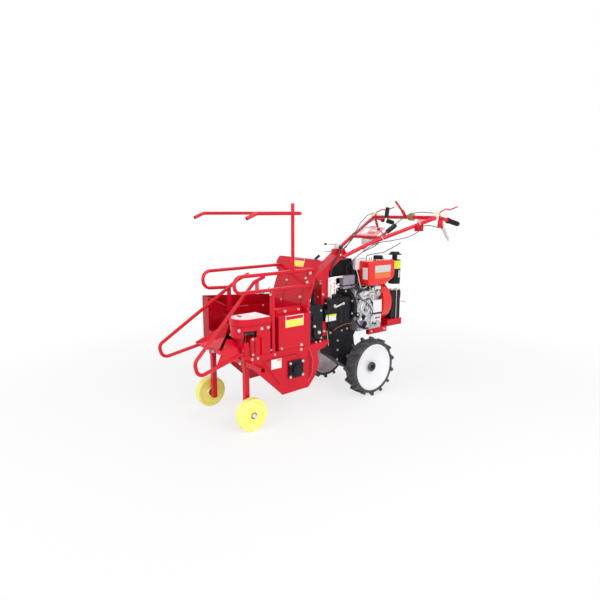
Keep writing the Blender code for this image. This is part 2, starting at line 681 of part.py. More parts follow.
def transmission():
    """The gearbox, and below it the chain case with the axle tubes."""
    upper = rounded(block((-0.095, 0.750, 0.475), (0.095, 0.965, 0.690)), 0.020)
    nose = block((-0.0945, 0.716, 0.5403), (0.0945, 0.760, 0.620))
    flange = disc(0.130, 0.026, (0.0, 0.9725, CRANK_Z), "Y", 32)
    part("gearbox_case", "black_paint", [upper, nose, flange])

    outline = [(0.770, 0.4745), (0.984, 0.4745), (0.984, 0.4297), (1.060, 0.4297), (1.030, 0.387), (1.050, 0.260)]
    outline += arc(WHEELBASE, TYRE_R, 0.070, 20, -150, 9)
    outline += [(0.800, 0.270)]
    case = plate([outline], 0.110, (0.0, 0.0, 0.0), "X")
    tubes = disc(0.034, 0.356, (0.0, WHEELBASE, TYRE_R), "X")
    bores = []
    for sign in (1, -1):
        bores.append(disc(DRIVE_SHAFT_R + 0.0014, 0.130, (sign * 0.130, WHEELBASE, TYRE_R), "X"))
    part("chain_case", "black_paint", [case, tubes], bores)


def engine():
    """The single-cylinder engine with its tank, cleaner, muffler, shroud, rails and battery."""
    base = rounded(block((-0.125, 1.000, 0.430), (0.125, 1.246, 0.520)), 0.008, 2)
    crankcase = rounded(block((-0.120, 0.9858, 0.500), (0.118, 1.250, 0.735)), 0.030)
    cylinder = block((-0.100, 1.050, 0.720), (0.012, 1.222, 0.872))
    head = rounded(block((-0.106, 1.040, 0.858), (0.014, 1.228, 0.900)), 0.006, 2)
    fins = []
    for i in range(5):
        fin_z = 0.747 + 0.021 * i
        fins.append(block((-0.112, 1.0402, fin_z), (0.020, 1.231, fin_z + 0.006)))
    timing_cover = disc(0.088, 0.016, (0.121, 1.078, 0.600), "X", 28)
    side_plate = rounded(block((0.110, 1.150, 0.548), (0.133, 1.246, 0.650)), 0.004, 1)
    pump = block((0.060, 1.180, 0.725), (0.098, 1.228, 0.7599))
    bolt_head = disc(0.016, 0.040, (0.122, 1.195, 0.478), "X", 12)
    pieces = [crankcase, base, cylinder, head, *fins, timing_cover, side_plate, pump, bolt_head]
    part("engine", "cast_alloy", pieces)
    ring = disc(0.150, 0.085, (0.0, 1.2925 + SEAT, CRANK_Z), "Y", 40)
    starter = disc(0.085, 0.028, (0.0, 1.348, CRANK_Z), "Y", 28, 0.070)
    part("flywheel_shroud", "tank_paint", [ring, starter])
    tank = rounded(block((0.0203, 1.060, 0.7605), (0.165, 1.345, 0.940)), 0.022)
    part("fuel_tank", "tank_paint", [tank])
    part("fuel_cap", "black_plastic", [disc(0.032, 0.032, (0.095, 1.230, 0.9563), "Z", 20)])
    low = (0.020, 0.913, 0.7430)
    part("control_box", "grey_plastic", [rounded(block(low, (0.062, 1.030, 0.838)), 0.005, 2)])
    body = disc(0.046, 0.185, (0.060, 1.455, 0.8325), "Z", 24)
    neck = disc(0.020, 0.050, (0.060, 1.455, 0.945), "Z", 16)
    cap = disc(0.044, 0.022, (0.060, 1.455, 0.975), "Z", 24, 0.032)
    intake = pipe([(0.060, 1.455, 0.800), (-0.050, 1.400, 0.800), (-0.060, 1.2325, 0.800)], 0.018, 0.030)
    part("air_cleaner", "black_plastic", [body, neck, cap, intake])
    part("muffler", "black_paint", [rounded(block((-0.150, 0.900, 0.770), (-0.010, 1.0397, 0.950)), 0.020)])
    part("battery", "black_plastic", [rounded(block((-0.095, 1.390, 0.4705), (0.095, 1.496, 0.685)), 0.006, 2)])
    rails = []
    for sign in (1, -1):
        rails.append(block((sign * 0.095 - 0.015, 1.135, 0.385), (sign * 0.095 + 0.015, 1.330, 0.4297)))
    tray = block((-0.110, 1.338, 0.420), (0.110, 1.500, 0.4702))
    bed = block((-0.110, 1.135, 0.4247), (0.110, 1.350, 0.4297))
    part("engine_rails", "red_paint", [tray, bed, *rails])


def column():
    """The sloping channel on the gearbox, with the clamp, the lock rod and the swing lever."""
    tilt = math.atan2(0.17, 0.24)
    foot_line = [(0.724, 0.650), (0.7497, 0.650), (0.7497, 0.6903), (0.790, 0.6903), (0.790, 0.905), (0.724, 0.858)]
    foot = plate([foot_line], 0.089, (0.0, 0.0, 0.0), "X")
    channel = block((-0.045, 0.655, 0.900), (0.045, 0.975, 0.945), ("X", tilt))
    hollow = block((-0.041, 0.6167, 0.8976), (0.041, 1.0167, 0.9426), ("X", tilt))
    pad = block((-0.020, 0.870, 0.985), (0.020, 0.935, 1.030))
    clamp = rounded(block((-0.018, 0.890, 1.0295), (0.018, 0.928, 1.071)), 0.004, 2)
    lock_rod = rod((0.0, 0.893, 1.062), (0.0, 0.800, 1.067), 0.0035)
    knob = disc(0.007, 0.014, (0.0, 0.795, 1.0673), "Y", 12)
    lever = pipe([(0.0, 0.872, 1.010), (0.0, 0.784, 1.018), (0.0, 0.718, 0.976)], 0.004, 0.010, 3, 2)
    grip = rod((0.0, 0.738, 0.989), (0.0, 0.702, 0.966), 0.009)
    pieces = [channel, foot, pad, clamp, lock_rod, knob, lever, grip]
    part("handlebar_column", "red_paint", pieces, [hollow])

    plate_line = [(0.781, 0.700), (0.781, 0.835), (0.862, 0.841), (0.862, 0.825), (0.812, 0.815), (0.812, 0.700)]
    link = plate([plate_line], 0.005, (0.0453 + 0.0025, 0.0, 0.0), "X")
    upright = block((0.0455, 0.796, 0.6903), (0.0585, 0.806, 0.790))
    part("shift_linkage", "bare_steel", [link, upright])


def handlebar():
    """The two arms with their crossbars, dash, levers, switch and grips."""
    pieces = []
    for sign in (1, -1):
        end_x = sign * (BAR_HALF + 0.010)
        path = [(sign * 0.0588, 0.905, 0.975), (sign * 0.124, 1.111, 1.067), (sign * BAR_HALF, BAR_Y, BAR_Z)]
        path += [(end_x, BAR_Y + 0.050, BAR_Z - 0.007), (end_x, BAR_Y + 0.120, BAR_Z - 0.022)]
        pieces.append(pipe(path, BAR_TUBE_R, 0.060))
        # clutch lever
        lever_x = sign * BAR_HALF
        root = block((lever_x - 0.010, BAR_Y - 0.006, BAR_Z + 0.008), (lever_x + 0.010, BAR_Y + 0.034, BAR_Z + 0.024))
        lever = [(lever_x, 1.615, 1.264), (lever_x, 1.657, 1.291), (lever_x, 1.717, 1.310)]
        lever += [(lever_x, 1.761, 1.303), (lever_x, 1.861, 1.327)]
        pieces += [root, pipe(lever, 0.005, 0.015, 3, 2)]
        # bracket of the brake lever
        pieces.append(bar_between((end_x, 1.640, 1.240), (end_x, 1.673, 1.162), 0.022, 0.006, (0, 1, 0)))
        pieces.append(bar_between((end_x, 1.668, 1.168), (end_x, 1.752, 1.092), 0.012, 0.004, (1, 0, 0)))
    pieces.append(disc(BAR_TUBE_R, 2 * BAR_HALF, (0.0, BAR_Y, BAR_Z), "X", 12))
    pieces.append(disc(0.012, 0.326, (0.0, 1.200, 1.104), "X", 12))
    corner = [(0.312, 1.606, 1.243), (0.150, 1.606, 1.243), (0.258, 1.452, 1.192)]
    pieces.append(sheet(corner, [(0, 1, 2)], 0.004))
    # dash panel behind the front crossbar
    pieces.append(bar_between((0.0, 1.192, 1.1125), (0.0, 1.292, 1.1745), 0.200, 0.004, (1, 0, 0)))
    # tall hand lever on the crossbar
    pieces.append(bar_between((0.030, 1.610, 1.240), (0.030, 1.560, 1.298), 0.026, 0.008, (0, 1, 0.6)))
    pieces.append(bar_between((0.030, 1.566, 1.290), (0.030, 1.479, 1.368), 0.014, 0.008, (0, 1, 0.6)))
    # steering lever beside the left arm, and the gear lever on the dash panel
    pieces.append(pipe([(0.122, 1.048, 1.030), (0.112, 1.060, 1.034), (0.110, 1.303, 1.143)], 0.008, 0.010, 3, 2))
    pieces.append(rod((0.085, 1.282, 1.160), (0.085, 1.318, 1.243), 0.007))
    # switch below the left arm
    pieces.append(rounded(block((0.255, 1.435, 1.148), (0.285, 1.505, 1.196)), 0.004, 2))
    part("handlebar", "red_paint", pieces)

    for side, sign in SIDES:
        start = Vector((sign * (BAR_HALF + 0.010), BAR_Y + 0.120 + SEAT, BAR_Z - 0.022))
        way = Vector((0.0, 0.135, -0.029))
        middle = start + way.normalized() * 0.069
        flange = start + way.normalized() * 0.003
        grip = [disc(0.018, 0.138, middle, way, 16), disc(0.023, 0.006, flange, way, 16)]
        part(f"grip_{side}", "black_rubber", grip)
    way = Vector((-0.009, 0.098, 0.045))
    start = Vector((0.110, 1.303, 1.143)) + way.normalized() * 0.0008
    part("steer_grip", "black_rubber", [rod(start, start + way, 0.017, 16)])
    way = Vector((0.0, 0.012, 0.076))
    start = Vector((0.085, 1.318, 1.243)) + way.normalized() * 0.0021
    part("gear_grip", "black_rubber", [rod(start, start + way, 0.015, 16)])

    bowl = rounded(block((-0.055, 1.200, 1.046), (0.055, 1.285, 1.0916)), 0.010, 2)
    lens = rounded(block((-0.048, 1.192, 1.050), (0.048, 1.206, 1.086)), 0.003, 1)
    lug = block((-0.015, 1.193, 1.080), (0.015, 1.207, 1.0917))
    part("headlamp", "grey_plastic", [bowl, lens, lug])


def cables():
    """The control cables from the levers down to the gearbox and the engine."""
    left = [(0.306, 1.590, 1.2790), (0.262, 1.515, 1.287), (0.200, 1.452, 1.276), (0.176, 1.395, 1.241)]
    left += [(0.168, 1.328, 1.203), (0.150, 1.280, 1.157), (0.100, 1.190, 1.042), (0.070, 1.088, 1.000)]
    left += [(0.046, 1.015, 0.945), (0.032, 0.970, 0.900), (0.032, 0.970, 0.8385)]
    part("clutch_cable_left", "black_rubber", [pipe(left, 0.003, 0.020, 2, 1)])
    right = [(-0.306, 1.590, 1.2790), (-0.262, 1.475, 1.261), (-0.222, 1.358, 1.205), (-0.152, 1.236, 1.137)]
    right += [(-0.140, 1.192, 1.1235), (-0.112, 1.150, 1.082), (-0.105, 1.095, 1.028), (-0.105, 1.000, 0.975)]
    right += [(-0.100, 0.930, 0.966), (-0.088, 0.884, 0.940), (-0.055, 0.868, 0.870), (-0.055, 0.868, 0.6905)]
    part("clutch_cable_right", "black_rubber", [pipe(right, 0.003, 0.010, 2, 1)])
    throttle = [(0.100, 1.470, 1.055), (0.100, 1.368, 1.018), (0.100, 1.276, 0.990), (0.100, 1.150, 0.984)]
    throttle += [(0.100, 1.100, 0.975), (0.100, 1.100, 0.9405)]
    part("throttle_cable", "black_rubber", [pipe(throttle, 0.003, 0.012, 2, 1)])


for side_name, side_sign in SIDES:
    front_gear(side_name, side_sign)
    drive_wheel(side_name, side_sign)
front_beam()
chopper()
dividers()
stalk_fork()
gathering_unit()
ear_box()
snapping_rolls()
header_body()
transmission()
engine()
column()
handlebar()
cables()
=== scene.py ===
"""Dressed model of a walk-behind single-row corn harvester, in metres.

Places are written from the middle of the front axle on the ground: X to the
machine's left, Y to the rear, Z up. ``at`` moves such a place into the frame.
"""

import json
import logging
import math
from dataclasses import dataclass
from enum import Enum
from typing import Iterable, Optional, Sequence

import bmesh
import bpy
from mathutils import Matrix, Vector

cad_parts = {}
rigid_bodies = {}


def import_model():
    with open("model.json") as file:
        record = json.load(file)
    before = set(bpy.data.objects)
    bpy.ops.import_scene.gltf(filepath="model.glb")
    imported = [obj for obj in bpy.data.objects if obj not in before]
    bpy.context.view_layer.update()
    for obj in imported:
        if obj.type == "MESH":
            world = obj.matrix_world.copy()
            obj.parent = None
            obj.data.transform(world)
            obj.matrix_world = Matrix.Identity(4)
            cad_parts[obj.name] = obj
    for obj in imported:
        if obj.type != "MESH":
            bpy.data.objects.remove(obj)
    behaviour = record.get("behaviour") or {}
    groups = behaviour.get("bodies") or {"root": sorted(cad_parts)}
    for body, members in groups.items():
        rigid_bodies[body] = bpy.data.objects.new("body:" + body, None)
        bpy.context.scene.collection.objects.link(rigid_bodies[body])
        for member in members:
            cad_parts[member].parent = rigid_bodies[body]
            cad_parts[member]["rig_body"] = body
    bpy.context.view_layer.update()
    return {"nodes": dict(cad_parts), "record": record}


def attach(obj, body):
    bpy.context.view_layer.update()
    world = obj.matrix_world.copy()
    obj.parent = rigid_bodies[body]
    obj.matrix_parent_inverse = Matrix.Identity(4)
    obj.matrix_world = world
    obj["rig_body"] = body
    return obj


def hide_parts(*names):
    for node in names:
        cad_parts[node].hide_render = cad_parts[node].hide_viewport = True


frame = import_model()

LOG = logging.getLogger("corn_harvester")

Triple = tuple[float, float, float]
Pair = tuple[float, float]

FRAME_SHIFT = -0.755
SHARP = math.radians(36)
MERGE = 0.00001
SEAT = 0.0003


def at(x: float, y: float, z: float) -> Vector:
    """A place measured from the front axle, in the frame."""
    return Vector((x, y + FRAME_SHIFT, z))


def screen(red: int, green: int, blue: int) -> Triple:
    """A screen colour of parts from 0 to 255 as the linear colour that shaders use."""

    def linear(part: int) -> float:
        share = part / 255.0
        return share / 12.92 if share <= 0.04045 else ((share + 0.055) / 1.055) ** 2.4

    return linear(red), linear(green), linear(blue)


class Way(Enum):
    """Directions that faces, bolts and labels look in."""

    LEFT = (1.0, 0.0, 0.0)
    RIGHT = (-1.0, 0.0, 0.0)
    FRONT = (0.0, -1.0, 0.0)
    REAR = (0.0, 1.0, 0.0)
    UP = (0.0, 0.0, 1.0)
    DOWN = (0.0, 0.0, -1.0)
    PANEL = (0.0, -0.940, 0.341)
    PANEL_FOOT = (0.0, -0.995, 0.102)
    COLUMN = (0.0, -0.578, 0.816)
    NOSE = (0.610, -0.792, 0.0)


class Grain(Enum):
    """Surface reliefs: noise scale per metre, detail, strength, height in metres."""

    PAINT = (90.0, 2.0, 0.05, 0.00030)
    CASTING = (520.0, 6.0, 0.55, 0.00050)
    MOULDED = (900.0, 3.0, 0.18, 0.00020)
    RUBBER = (650.0, 5.0, 0.40, 0.00035)
    METAL = (1500.0, 4.0, 0.12, 0.00010)
    STRAW = (1400.0, 6.0, 0.70, 0.00060)
    FILM = (260.0, 1.0, 0.05, 0.00010)


@dataclass(frozen=True)
class Finish:
    """One procedural finish.

    Attributes:
        name: what the material is called.
        colour: main linear colour.
        shade: linear colour of the soft patches.
        gloss: lowest and highest roughness over the surface.
        grain: the relief.
        metallic: 0 for paint and plastic, up to 1 for bare metal.
        coat: weight of a clear coat.
        patch: patches per metre.
        specular: strength of the plain reflection.
        share: how much of the shade shows at most.
        stretch: how far the patches stretch along the machine, 1 for round ones.
    """

    name: str
    colour: Triple
    shade: Triple
    gloss: Pair
    grain: Grain
    metallic: float = 0.0
    coat: float = 0.0
    patch: float = 9.0
    specular: float = 0.5
    share: float = 0.6
    stretch: Triple = (1.0, 1.0, 1.0)

    def material(self) -> bpy.types.Material:
        """The finish's material, made once.

        Returns:
            The Blender material with its colour, roughness and relief nodes.
        """
        name = f"finish_{self.name}"
        known = bpy.data.materials.get(name)
        if known:
            return known
        material = bpy.data.materials.new(name)
        material.use_nodes = True
        tree = material.node_tree
        shader = tree.nodes["Principled BSDF"]
        shader.inputs["Metallic"].default_value = self.metallic
        shader.inputs["Coat Weight"].default_value = self.coat
        shader.inputs["Coat Roughness"].default_value = 0.08
        shader.inputs["Specular IOR Level"].default_value = self.specular
        place = tree.nodes.new("ShaderNodeTexCoord")
        spread = tree.nodes.new("ShaderNodeMapping")
        spread.inputs["Scale"].default_value = self.stretch
        tree.links.new(place.outputs["Object"], spread.inputs["Vector"])

        patches = self._noise(tree, self.patch, 5.0, spread.outputs["Vector"])
        ramp = self._span(tree, patches.outputs["Fac"], (0.38, 0.68), (0.0, self.share))
        mix = tree.nodes.new("ShaderNodeMix")
        mix.data_type = "RGBA"
        mix.inputs["A"].default_value = (*self.colour, 1.0)
        mix.inputs["B"].default_value = (*self.shade, 1.0)
        tree.links.new(ramp.outputs["Result"], mix.inputs["Factor"])
        tree.links.new(mix.outputs["Result"], shader.inputs["Base Color"])

        smears = self._noise(tree, self.patch * 5.0, 4.0, spread.outputs["Vector"])
        gloss = self._span(tree, smears.outputs["Fac"], (0.3, 0.7), self.gloss)
        tree.links.new(gloss.outputs["Result"], shader.inputs["Roughness"])

        scale, detail, strength, height = self.grain.value
        relief = self._noise(tree, scale, detail, place.outputs["Object"])
        bump = tree.nodes.new("ShaderNodeBump")
        bump.inputs["Strength"].default_value = strength
        bump.inputs["Distance"].default_value = height
        tree.links.new(relief.outputs["Fac"], bump.inputs["Height"])
        tree.links.new(bump.outputs["Normal"], shader.inputs["Normal"])
        return material

    @staticmethod
    def _noise(
        tree: bpy.types.NodeTree, scale: float, detail: float, vector: bpy.types.NodeSocket
    ) -> bpy.types.Node:
        """A noise texture of a scale per metre, read at a vector."""
        noise = tree.nodes.new("ShaderNodeTexNoise")
        noise.inputs["Scale"].default_value = scale
        noise.inputs["Detail"].default_value = detail
        tree.links.new(vector, noise.inputs["Vector"])
        return noise

    @staticmethod
    def _span(
        tree: bpy.types.NodeTree, value: bpy.types.NodeSocket, source: Pair, target: Pair
    ) -> bpy.types.Node:
        """A clamped map of a value from one range to another."""
        span = tree.nodes.new("ShaderNodeMapRange")
        span.inputs["From Min"].default_value = source[0]
        span.inputs["From Max"].default_value = source[1]
        span.inputs["To Min"].default_value = target[0]
        span.inputs["To Max"].default_value = target[1]
        tree.links.new(value, span.inputs["Value"])
        return span


RED = Finish(
    "gloss_red_paint", screen(214, 9, 40), screen(198, 5, 32), (0.26, 0.36), Grain.PAINT, coat=0.22,
    specular=0.2, share=0.4,
)
# Painted highlight red: light lines on the cheeks' folds and the ear box's top edge, and the painted sheen of the dash
# panel.
ROSE = Finish("painted_highlight_red", screen(226, 120, 128), screen(212, 84, 96), (0.24, 0.4), Grain.PAINT, coat=0.2)
TANK = Finish(
    "orange_red_paint", screen(236, 36, 26), screen(228, 28, 20), (0.18, 0.26), Grain.PAINT, coat=0.25,
    specular=0.4, share=0.4,
)
BLACK = Finish(
    "satin_black_paint", screen(32, 31, 37), screen(48, 47, 55), (0.34, 0.5), Grain.CASTING, patch=16.0,
    specular=0.14,
)
SOOT = Finish(
    "heat_black_paint", screen(20, 19, 23), screen(34, 32, 35), (0.5, 0.7), Grain.CASTING, patch=22.0,
    specular=0.08,
)
NYLON = Finish(
    "yellow_nylon", screen(252, 249, 130), screen(255, 253, 168), (0.4, 0.55), Grain.MOULDED, patch=14.0,
    specular=0.25,
)
WHITE = Finish("white_paint", screen(244, 244, 246), screen(236, 236, 240), (0.26, 0.4), Grain.PAINT, coat=0.2)
TYRE = Finish(
    "tyre_rubber", screen(72, 72, 78), screen(98, 98, 104), (0.46, 0.66), Grain.RUBBER, patch=24.0,
    specular=0.2,
)
RUBBER = Finish(
    "black_rubber", screen(34, 34, 38), screen(50, 50, 55), (0.5, 0.68), Grain.RUBBER, patch=40.0,
    specular=0.1,
)
ALLOY = Finish(
    "cast_alloy", screen(206, 206, 210), screen(160, 160, 166), (0.34, 0.55), Grain.CASTING, metallic=0.75,
    patch=30.0,
)
STEEL = Finish(
    "bare_steel", screen(178, 178, 182), screen(120, 119, 124), (0.22, 0.42), Grain.METAL, metallic=0.95,
    patch=40.0,
)
ZINC = Finish("zinc_plate", screen(232, 228, 214), screen(206, 200, 186), (0.2, 0.34), Grain.METAL, metallic=0.8)
OILED = Finish(
    "oiled_chain", screen(84, 80, 80), screen(40, 38, 40), (0.3, 0.5), Grain.METAL, metallic=0.85, patch=60.0
)
GREY = Finish("grey_plastic", screen(152, 147, 160), screen(134, 130, 143), (0.4, 0.55), Grain.MOULDED)
LENS = Finish("lamp_lens", screen(214, 214, 220), screen(236, 236, 240), (0.08, 0.16), Grain.FILM, coat=0.6)
PLASTIC = Finish(
    "black_plastic", screen(38, 37, 43), screen(52, 51, 58), (0.36, 0.5), Grain.MOULDED, patch=12.0,
    specular=0.1,
)
PAPER = Finish("white_label", screen(246, 244, 242), screen(238, 234, 232), (0.28, 0.36), Grain.FILM)
PINK = Finish("pale_label", screen(248, 212, 217), screen(246, 238, 238), (0.22, 0.32), Grain.FILM)
LEMON = Finish("yellow_label", screen(248, 240, 92), screen(244, 232, 76), (0.28, 0.36), Grain.FILM)
LIME = Finish("bright_yellow_label", screen(226, 244, 40), screen(220, 236, 34), (0.28, 0.36), Grain.FILM)
ORANGE = Finish("orange_label", screen(238, 122, 66), screen(230, 108, 56), (0.28, 0.36), Grain.FILM)
SILVER = Finish("silver_label", screen(214, 212, 208), screen(196, 194, 192), (0.26, 0.34), Grain.FILM)
STRAW = Finish("straw_twine", screen(196, 164, 110), screen(150, 118, 72), (0.7, 0.9), Grain.STRAW, patch=120.0)
# Painted shade red: the darker red of the ear box and of the cheeks' bent band stands in for shade.
DEEP = Finish(
    "shaded_red_paint", screen(186, 4, 26), screen(170, 2, 20), (0.24, 0.34), Grain.PAINT, coat=0.05,
    specular=0.2, share=0.4,
)
# Painted shadow lines along the pressed lines of the cheeks and the ear box and under the drum cover's lip.
CRIMSON = Finish(
    "crimson_shadow", screen(112, 3, 22), screen(94, 2, 16), (0.3, 0.42), Grain.PAINT, specular=0.1
)
WORN = Finish("worn_red_paint", screen(178, 104, 116), screen(160, 84, 96), (0.36, 0.5), Grain.PAINT)
# Pale alloy: painted highlights on the crankcase's left side, and the pale headlamp and intake block.
PEARL = Finish("pale_alloy_and_painted_highlight", screen(236, 234, 236), screen(206, 204, 210), (0.36, 0.5), Grain.CASTING, patch=30.0)
# Painted shade on the alloy of the crankcase's left side.
LILAC = Finish("shaded_alloy", screen(108, 102, 116), screen(84, 79, 92), (0.4, 0.55), Grain.CASTING, patch=30.0)
IRON = Finish("cast_iron", screen(62, 60, 68), screen(92, 90, 98), (0.45, 0.62), Grain.CASTING, patch=30.0)
# Near-black for print and seams, and painted shade inside the cheeks' holes, the drive hub's centre and the engine's
# gaps.
DARK = Finish("inside_black", screen(14, 14, 15), screen(24, 24, 26), (0.6, 0.8), Grain.RUBBER)
WIRE = Finish("black_wire", screen(28, 28, 30), screen(44, 43, 46), (0.36, 0.5), Grain.MOULDED, patch=60.0)
BROWN = Finish("brown_wire", screen(150, 98, 52), screen(120, 76, 40), (0.4, 0.55), Grain.MOULDED, patch=60.0)


class Shape:
    """One piece of the machine, built up from solids that each have a finish."""

    def __init__(self, name: str, *finishes: Finish) -> None:
        """Starts an empty piece.

        Args:
            name: the piece's name.
            finishes: its finishes, which the solids pick by their number.
        """
        self.name = name
        self.finishes = finishes
        self.form = bmesh.new()

    def take(self, part: bmesh.types.BMesh, finish: int = 0, outward: bool = True) -> None:
        """Adds a solid to the piece and frees it.

        Args:
            part: the solid, placed in the frame.
            finish: number of its finish.
            outward: whether to turn all faces outwards first.
        """
        if outward:
            bmesh.ops.recalc_face_normals(part, faces=part.faces)
        for face in part.faces:
            face.material_index = finish
            face.smooth = True
        mesh = bpy.data.meshes.new("part")
        part.to_mesh(mesh)
        part.free()
        self.form.from_mesh(mesh)
        bpy.data.meshes.remove(mesh)

    def block(
        self,
        low: Sequence[float],
        high: Sequence[float],
        finish: int = 0,
        radius: float = 0.0,
        turn: Optional[tuple[str, float]] = None,
    ) -> None:
        """Adds a box between two corners.

        Args:
            low: lowest corner.
            high: highest corner.
            finish: number of its finish.
            radius: radius of its edges.
            turn: axis name and angle of a turn about its middle.
        """
        first, last = Vector(low), Vector(high)
        matrix = Matrix.Translation(at(*((first + last) / 2)))
        if turn:
            matrix = matrix @ Matrix.Rotation(turn[1], 4, turn[0])
        matrix = matrix @ Matrix.Diagonal((*(last - first), 1.0))
        part = bmesh.new()
        bmesh.ops.create_cube(part, size=1.0, matrix=matrix)
        if radius:
            soften(part, part.edges, radius)
        self.take(part, finish)

    def tile(
        self,
        centre: Sequence[float],
        way: Sequence[float],
        across: Sequence[float],
        size: Triple,
        finish: int = 0,
        radius: float = 0.0,
    ) -> None:
        """Adds a box that stands on a sloping face.

        Args:
            centre: middle of its underside.
            way: direction away from the face.
            across: direction of its width.
            size: width, height and thickness.
            finish: number of its finish.
            radius: radius of its edges.
        """
        out = Vector(way).normalized()
        side = Vector(across).normalized()
        rise = out.cross(side).normalized()
        side = rise.cross(out)
        axes = Matrix((side, rise, out)).transposed().to_4x4()
        place = at(*centre) + out * size[2] / 2
        part = bmesh.new()
        bmesh.ops.create_cube(
            part, size=1.0, matrix=Matrix.Translation(place) @ axes @ Matrix.Diagonal((*size, 1.0))
        )
        if radius:
            soften(part, part.edges, radius)
        self.take(part, finish)

    def round_bar(
        self,
        foot: Sequence[float],
        way: Sequence[float],
        radius: float,
        length: float,
        finish: int = 0,
        sides: int = 24,
        tip: Optional[float] = None,
        rim: float = 0.0,
    ) -> None:
        """Adds a round bar that stands on a place.

        Args:
            foot: middle of its foot.
            way: direction it stands in.
            radius: its radius.
            length: its length.
            finish: number of its finish.
            sides: count of its sides.
            tip: radius at the far end, the same by default.
            rim: radius of the edge round the far end.
        """
        out = Vector(way).normalized()
        matrix = Matrix.Translation(at(*foot) + out * length / 2)
        matrix = matrix @ Vector((0, 0, 1)).rotation_difference(out).to_matrix().to_4x4()
        part = bmesh.new()
        bmesh.ops.create_cone(
            part,
            cap_ends=True,
            segments=sides,
            radius1=radius,
            radius2=radius if tip is None else tip,
            depth=length,
            matrix=matrix,
        )
        if rim:
            goal = at(*foot) + out * length
            top = max(part.faces, key=lambda face: -(face.calc_center_median() - goal).length)
            soften(part, top.edges, rim)
        self.take(part, finish)

    def bolt(
        self, foot: Sequence[float], way: Sequence[float], size: float = 0.0075, finish: int = 0
    ) -> None:
        """Adds a hexagon bolt head on a washer, with the thread's end.

        Args:
            foot: place on the surface.
            way: direction away from the surface.
            size: radius over the corners.
            finish: number of its finish.
        """
        out = Vector(way).normalized()
        base = Vector(foot)
        washer = size * 0.22
        head = size * 0.78
        self.round_bar(base, out, size * 1.25, washer, finish, 20, rim=washer * 0.3)
        self.round_bar(base + out * washer, out, size, head, finish, 6, rim=size * 0.12)
        self.round_bar(base + out * (washer + head), out, size * 0.5, size * 0.18, finish, 12)

    def turned(
        self,
        profile: Iterable[Pair],
        place: Sequence[float],
        way: Sequence[float],
        finish: int = 0,
        steps: int = 40,
    ) -> None:
        """Adds a turned ring from a closed profile.

        Args:
            profile: radius and height of its corners, in order.
            place: the middle that heights are measured from.
            way: direction of the axis.
            finish: number of its finish.
            steps: steps of the turn.
        """
        part = bmesh.new()
        corners = [part.verts.new((radius, 0.0, height)) for radius, height in profile]
        sides = [part.edges.new((corners[i - 1], corners[i])) for i in range(len(corners))]
        bmesh.ops.spin(
            part,
            geom=corners + sides,
            cent=(0, 0, 0),
            axis=(0, 0, 1),
            angle=math.tau,
            steps=steps,
            use_merge=True,
        )
        bmesh.ops.remove_doubles(part, verts=part.verts, dist=MERGE)
        turn = Vector((0, 0, 1)).rotation_difference(Vector(way).normalized()).to_matrix().to_4x4()
        part.transform(Matrix.Translation(at(*place)) @ turn)
        self.take(part, finish)

    def slab(
        self,
        outline: Iterable[Pair],
        low: float,
        high: float,
        finish: int = 0,
        facing: Way = Way.UP,
        radius: float = 0.0,
    ) -> None:
        """Adds a flat outline made into a slab.

        Args:
            outline: corners in (x, y) facing up, or in (y, z) facing left.
            low: height or X of its first side.
            high: height or X of its second side.
            finish: number of its finish.
            facing: UP or LEFT.
            radius: radius of its edges.
        """
        part = bmesh.new()
        if facing is Way.UP:
            corners = [part.verts.new(at(x, y, low)) for x, y in outline]
            shift = Vector((0.0, 0.0, high - low))
        else:
            corners = [part.verts.new(at(low, y, z)) for y, z in outline]
            shift = Vector((high - low, 0.0, 0.0))
        bmesh.ops.contextual_create(part, geom=corners)
        grown = bmesh.ops.extrude_face_region(part, geom=list(part.faces), use_keep_orig=True)
        moved = [item for item in grown["geom"] if isinstance(item, bmesh.types.BMVert)]
        bmesh.ops.translate(part, verts=moved, vec=shift)
        if radius:
            bmesh.ops.recalc_face_normals(part, faces=part.faces)
            soften(part, part.edges, radius, 4)
        self.take(part, finish)

    def line(
        self, points: Sequence[Sequence[float]], radius: float, finish: int = 0, fine: int = 6, round_: int = 2
    ) -> None:
        """Adds a round wire or tube that runs smoothly through its points.

        Args:
            points: the places it passes.
            radius: its radius.
            finish: number of its finish.
            fine: steps between two points.
            round_: fineness of its round.
        """
        curve = bpy.data.curves.new("line", "CURVE")
        curve.dimensions = "3D"
        curve.bevel_depth = radius
        curve.bevel_resolution = round_
        curve.resolution_u = fine
        curve.render_resolution_u = 0
        curve.use_fill_caps = True
        spline = curve.splines.new("BEZIER")
        spline.bezier_points.add(len(points) - 1)
        for knot, point in zip(spline.bezier_points, points):
            knot.co = at(*point)
            knot.handle_left_type = "AUTO"
            knot.handle_right_type = "AUTO"
        maker = bpy.data.objects.new("line", curve)
        bpy.context.scene.collection.objects.link(maker)
        bpy.context.view_layer.update()
        made = bpy.data.meshes.new_from_object(maker.evaluated_get(bpy.context.evaluated_depsgraph_get()))
        bpy.data.objects.remove(maker, do_unlink=True)
        bpy.data.curves.remove(curve)
        part = bmesh.new()
        part.from_mesh(made)
        bpy.data.meshes.remove(made)
        bmesh.ops.remove_doubles(part, verts=part.verts, dist=MERGE)
        self.take(part, finish)

